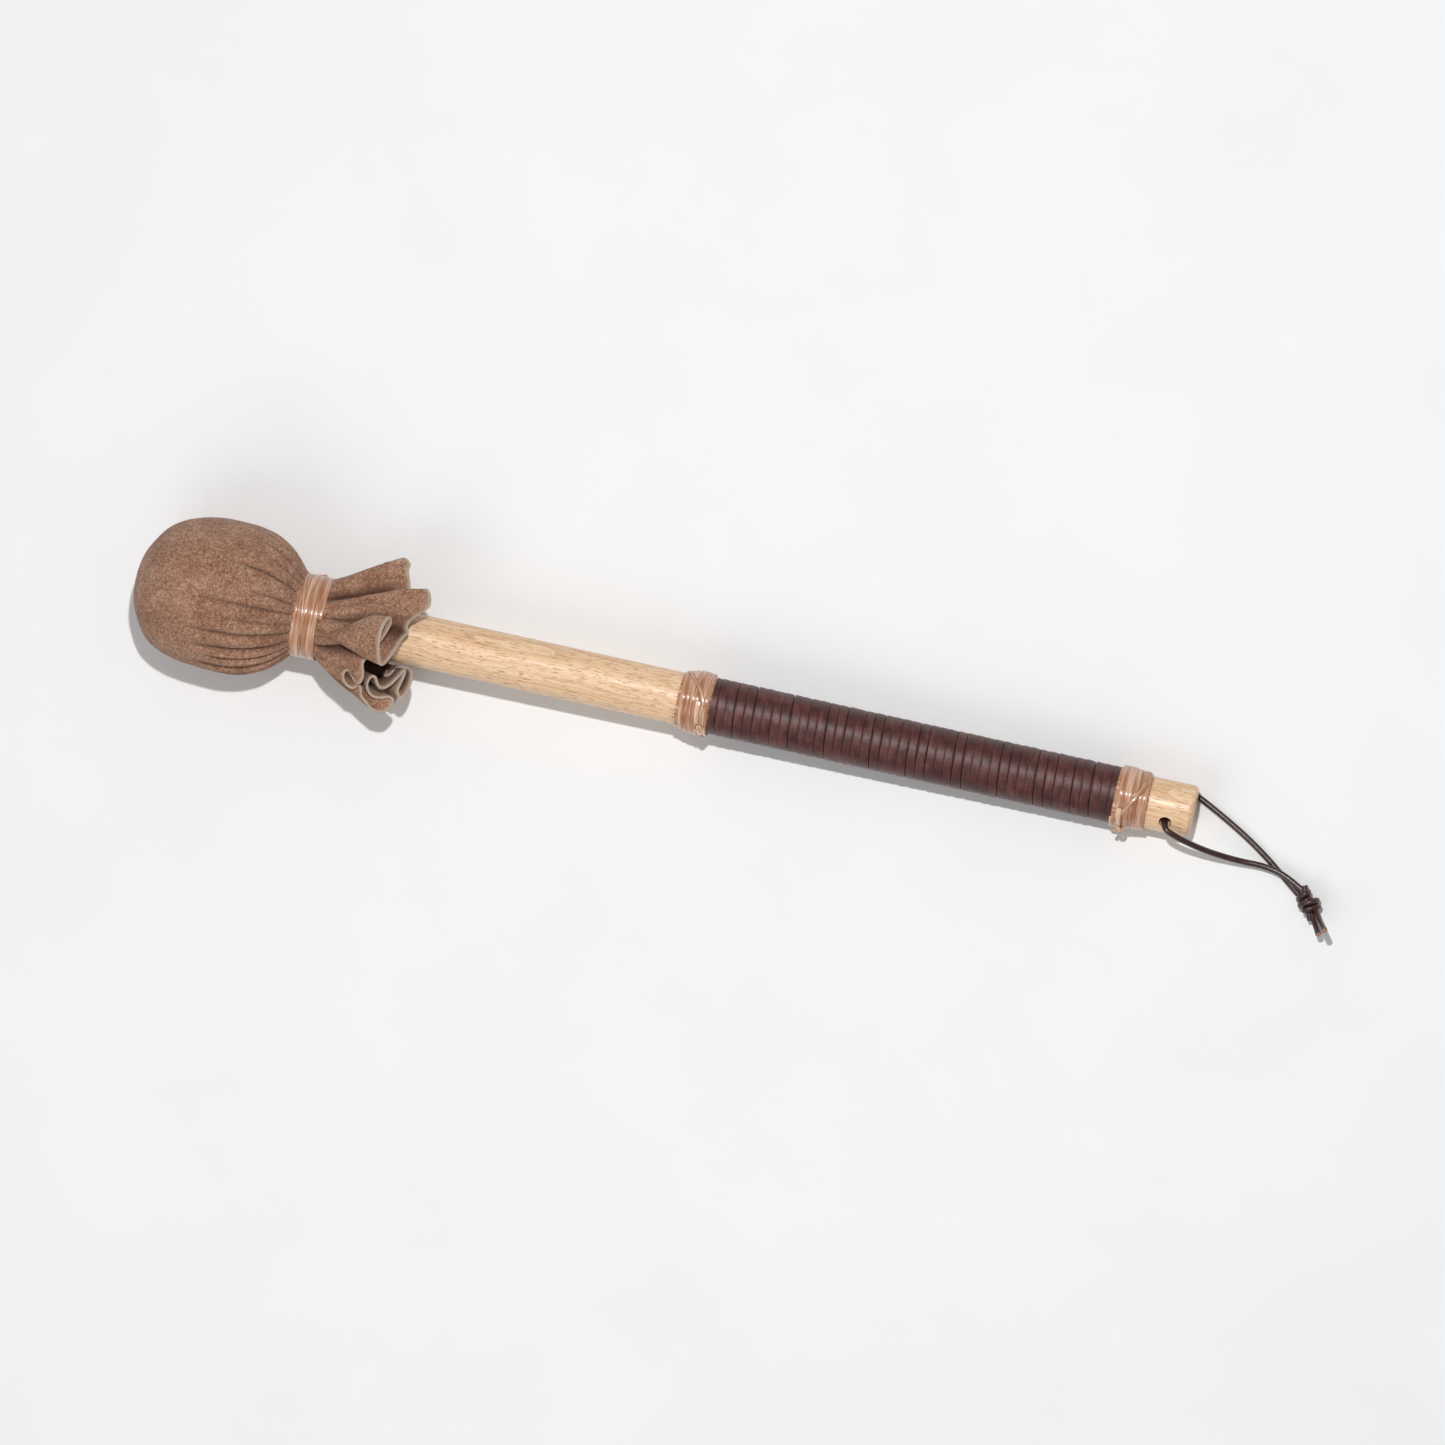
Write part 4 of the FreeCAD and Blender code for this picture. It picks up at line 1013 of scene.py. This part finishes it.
class BEATER_OT_windings(bpy.types.Operator):
    """Sinew: flat wraps round the neck, bindings over both ends of the lace, knots and loose ends."""
    bl_idname = "beater.windings"
    bl_label = "Sinew windings"

    def execute(self, context):
        size, sinew = sizes(), (material_for(waxed_sinew),)
        turn = winding_path(5.1)
        wraps = turn / (2 * math.pi)
        neck = ribbon("neck_wraps", size.neck_station + 1.3 + 2.55 * wraps + 0.3 * wobble(turn * 0.22, 21),
                      turn - 0.6, size.neck_radius + 0.75 + 0.14 * wobble(turn * 0.25, 5),
                      3.0 + 0.25 * wobble(turn * 0.2, 9), 0.8, sinew, squareness=2.5,
                      lift=0.16 * wobble(turn * 0.3, 2))
        turn = np.linspace(-1.3, 0.9, 70)
        crossing = ribbon("neck_crossing", size.neck_station + 2.6 + 4.4 * smooth_step(turn, -1.3, 0.9), turn,
                          size.neck_radius + 1.15, 1.9 + 0.3 * np.sin(2.3 * turn), 0.5, sinew)
        pieces = [(joined("neck_wraps", [neck, crossing]), ("neck_binding",))]
        round_turn = np.linspace(-math.pi, math.pi, 96, endpoint=False)[None, :]
        for name, start, profile, seed in (("front_wraps", size.front_start, FRONT_PROFILE, 31),
                                           ("rear_wraps", size.rear_start, REAR_PROFILE, 47)):
            length = profile[-1][0]
            under = np.linspace(0.6, length - 0.6, 40)
            reach = np.interp(under, *np.array(profile).T) - 0.8
            under, reach = np.pad(under, 1, "edge"), np.pad(reach, 1, constant_values=size.shaft_radius - 0.3)
            body = grid_mesh("under", on_stick(start + under[:, None], round_turn, reach[:, None]), sinew,
                             across_mm=90.0, along_mm=length)
            count = round(length / 2.75, 1)
            turn = winding_path(count)
            station = 1.4 + (length - 2.8) * turn / turn[-1]
            top = np.interp(station, *np.array(profile).T)
            wraps = ribbon("wraps", start + station + 0.32 * wobble(turn * 0.25, seed), turn + 0.8,
                           top - 0.42 + 0.12 * wobble(turn * 0.3, seed + 1),
                           3.1 + 0.3 * wobble(turn * 0.2, seed + 2), 0.95, sinew, squareness=2.4,
                           lift=0.16 * wobble(turn * 0.3, seed + 3))
            strands = []
            for middle, swing, sweep in CROSSINGS[name]:
                turn = np.radians(middle) + np.linspace(-0.5, 0.5, 70) * math.radians(sweep)
                station = 0.5 * length + swing * np.sin(np.linspace(-1.4, 1.4, 70))
                top = np.interp(station, *np.array(profile).T)
                strands.append(ribbon("over", start + station, turn, top + 0.12, 2.5, 0.5, sinew))
            pieces.append((joined(name, [wraps, body] + strands), (name.replace("_wraps", "_binding"),)))
        for name, at in KNOTS.items():
            pieces.append((sinew_knot(name + "_detail", *at), (name,)))
        for name, (station, turned, sweep, reach) in LOOSE_ENDS.items():
            turn = np.radians(turned) + np.linspace(0, math.radians(sweep), 60)
            share, arch = np.linspace(0, 1, 60), np.sin(np.linspace(0, math.pi, 60))
            end = ribbon(name + "_detail", station + 0.8 * share ** 2, turn, reach + 0.5 * arch,
                         2.5 - 0.8 * share ** 3, 0.5, (material_for(waxed_sinew, True),))
            pieces.append((end, (name,)))
        for piece, replaced in pieces:
            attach(piece, "stick")
            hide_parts(*replaced)
        return {"FINISHED"}


class BEATER_OT_lace(bpy.types.Operator):
    """Flat leather lace wound edge over edge on the grip."""
    bl_idname = "beater.lace"
    bl_label = "Grip lace"

    def execute(self, context):
        size, dye = sizes(), (material_for(dyed_lace),)
        turn = winding_path(size.lace_turns, 64)
        station = size.lace_start + size.lace_width / 2 + size.lace_pitch * turn / (2 * math.pi)
        station = station + 0.36 * wobble(turn / 4.3, 61) + 0.06 * wobble(turn * 0.9, 63)
        lace = ribbon("grip_lace_wound", station, turn, size.shaft_radius + 0.1 + size.lace_thick / 2
                      + 0.10 * wobble(turn / 3.1, 67), size.lace_width + 0.10 * wobble(turn * 0.9, 71),
                      size.lace_thick, dye, lift=-0.13 + 0.08 * wobble(turn / 5.0, 73), sides=16,
                      squareness=3.6)
        # a full layer of the same lace close to the wood, so that no wood shows between two turns
        length = size.lace_pitch * size.lace_turns
        below = np.linspace(size.lace_start + 1.0, size.lace_start + length + 3.0, 60)
        reach = np.pad(np.full(58, size.shaft_radius + 0.12), 1, constant_values=size.shaft_radius - 0.3)
        turn = np.linspace(-math.pi, math.pi, 64, endpoint=False)
        under = grid_mesh("under", on_stick(below[:, None], turn, reach[:, None]), dye, across_mm=80.0,
                          along_mm=210.0)
        lace = joined("grip_lace_wound", [lace, under])
        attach(lace, "stick")
        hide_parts("grip_lace")
        return {"FINISHED"}


class BEATER_PT_panel(bpy.types.Panel):
    """Sizes, colours and the steps of the build."""
    bl_label = "Padded beater"
    bl_idname = "BEATER_PT_panel"
    bl_space_type = "VIEW_3D"
    bl_region_type = "UI"
    bl_category = "Beater"

    def draw(self, context):
        for operator in OPERATORS:
            self.layout.operator(operator.bl_idname)
        for group, kind in ((context.scene.beater_sizes, BeaterSizes),
                            (context.scene.beater_colours, BeaterColours),
                            (context.scene.beater_stage, BeaterStage)):
            box = self.layout.box()
            for word in kind.__annotations__:
                box.prop(group, word)


OPERATORS = (BEATER_OT_stage, BEATER_OT_loop, BEATER_OT_wood, BEATER_OT_pouch, BEATER_OT_skirt,
             BEATER_OT_windings, BEATER_OT_lace)
CLASSES = (BeaterSizes, BeaterColours, BeaterStage) + OPERATORS + (BEATER_PT_panel,)


def register():
    for item in CLASSES:
        bpy.utils.register_class(item)
    bpy.types.Scene.beater_sizes = PointerProperty(type=BeaterSizes)
    bpy.types.Scene.beater_colours = PointerProperty(type=BeaterColours)
    bpy.types.Scene.beater_stage = PointerProperty(type=BeaterStage)


def unregister():
    del bpy.types.Scene.beater_stage, bpy.types.Scene.beater_colours, bpy.types.Scene.beater_sizes
    for item in reversed(CLASSES):
        bpy.utils.unregister_class(item)


def main():
    register()
    for operator in OPERATORS:
        group, step = operator.bl_idname.split(".")
        getattr(getattr(bpy.ops, group), step)()


if __name__ == "__main__":
    main()
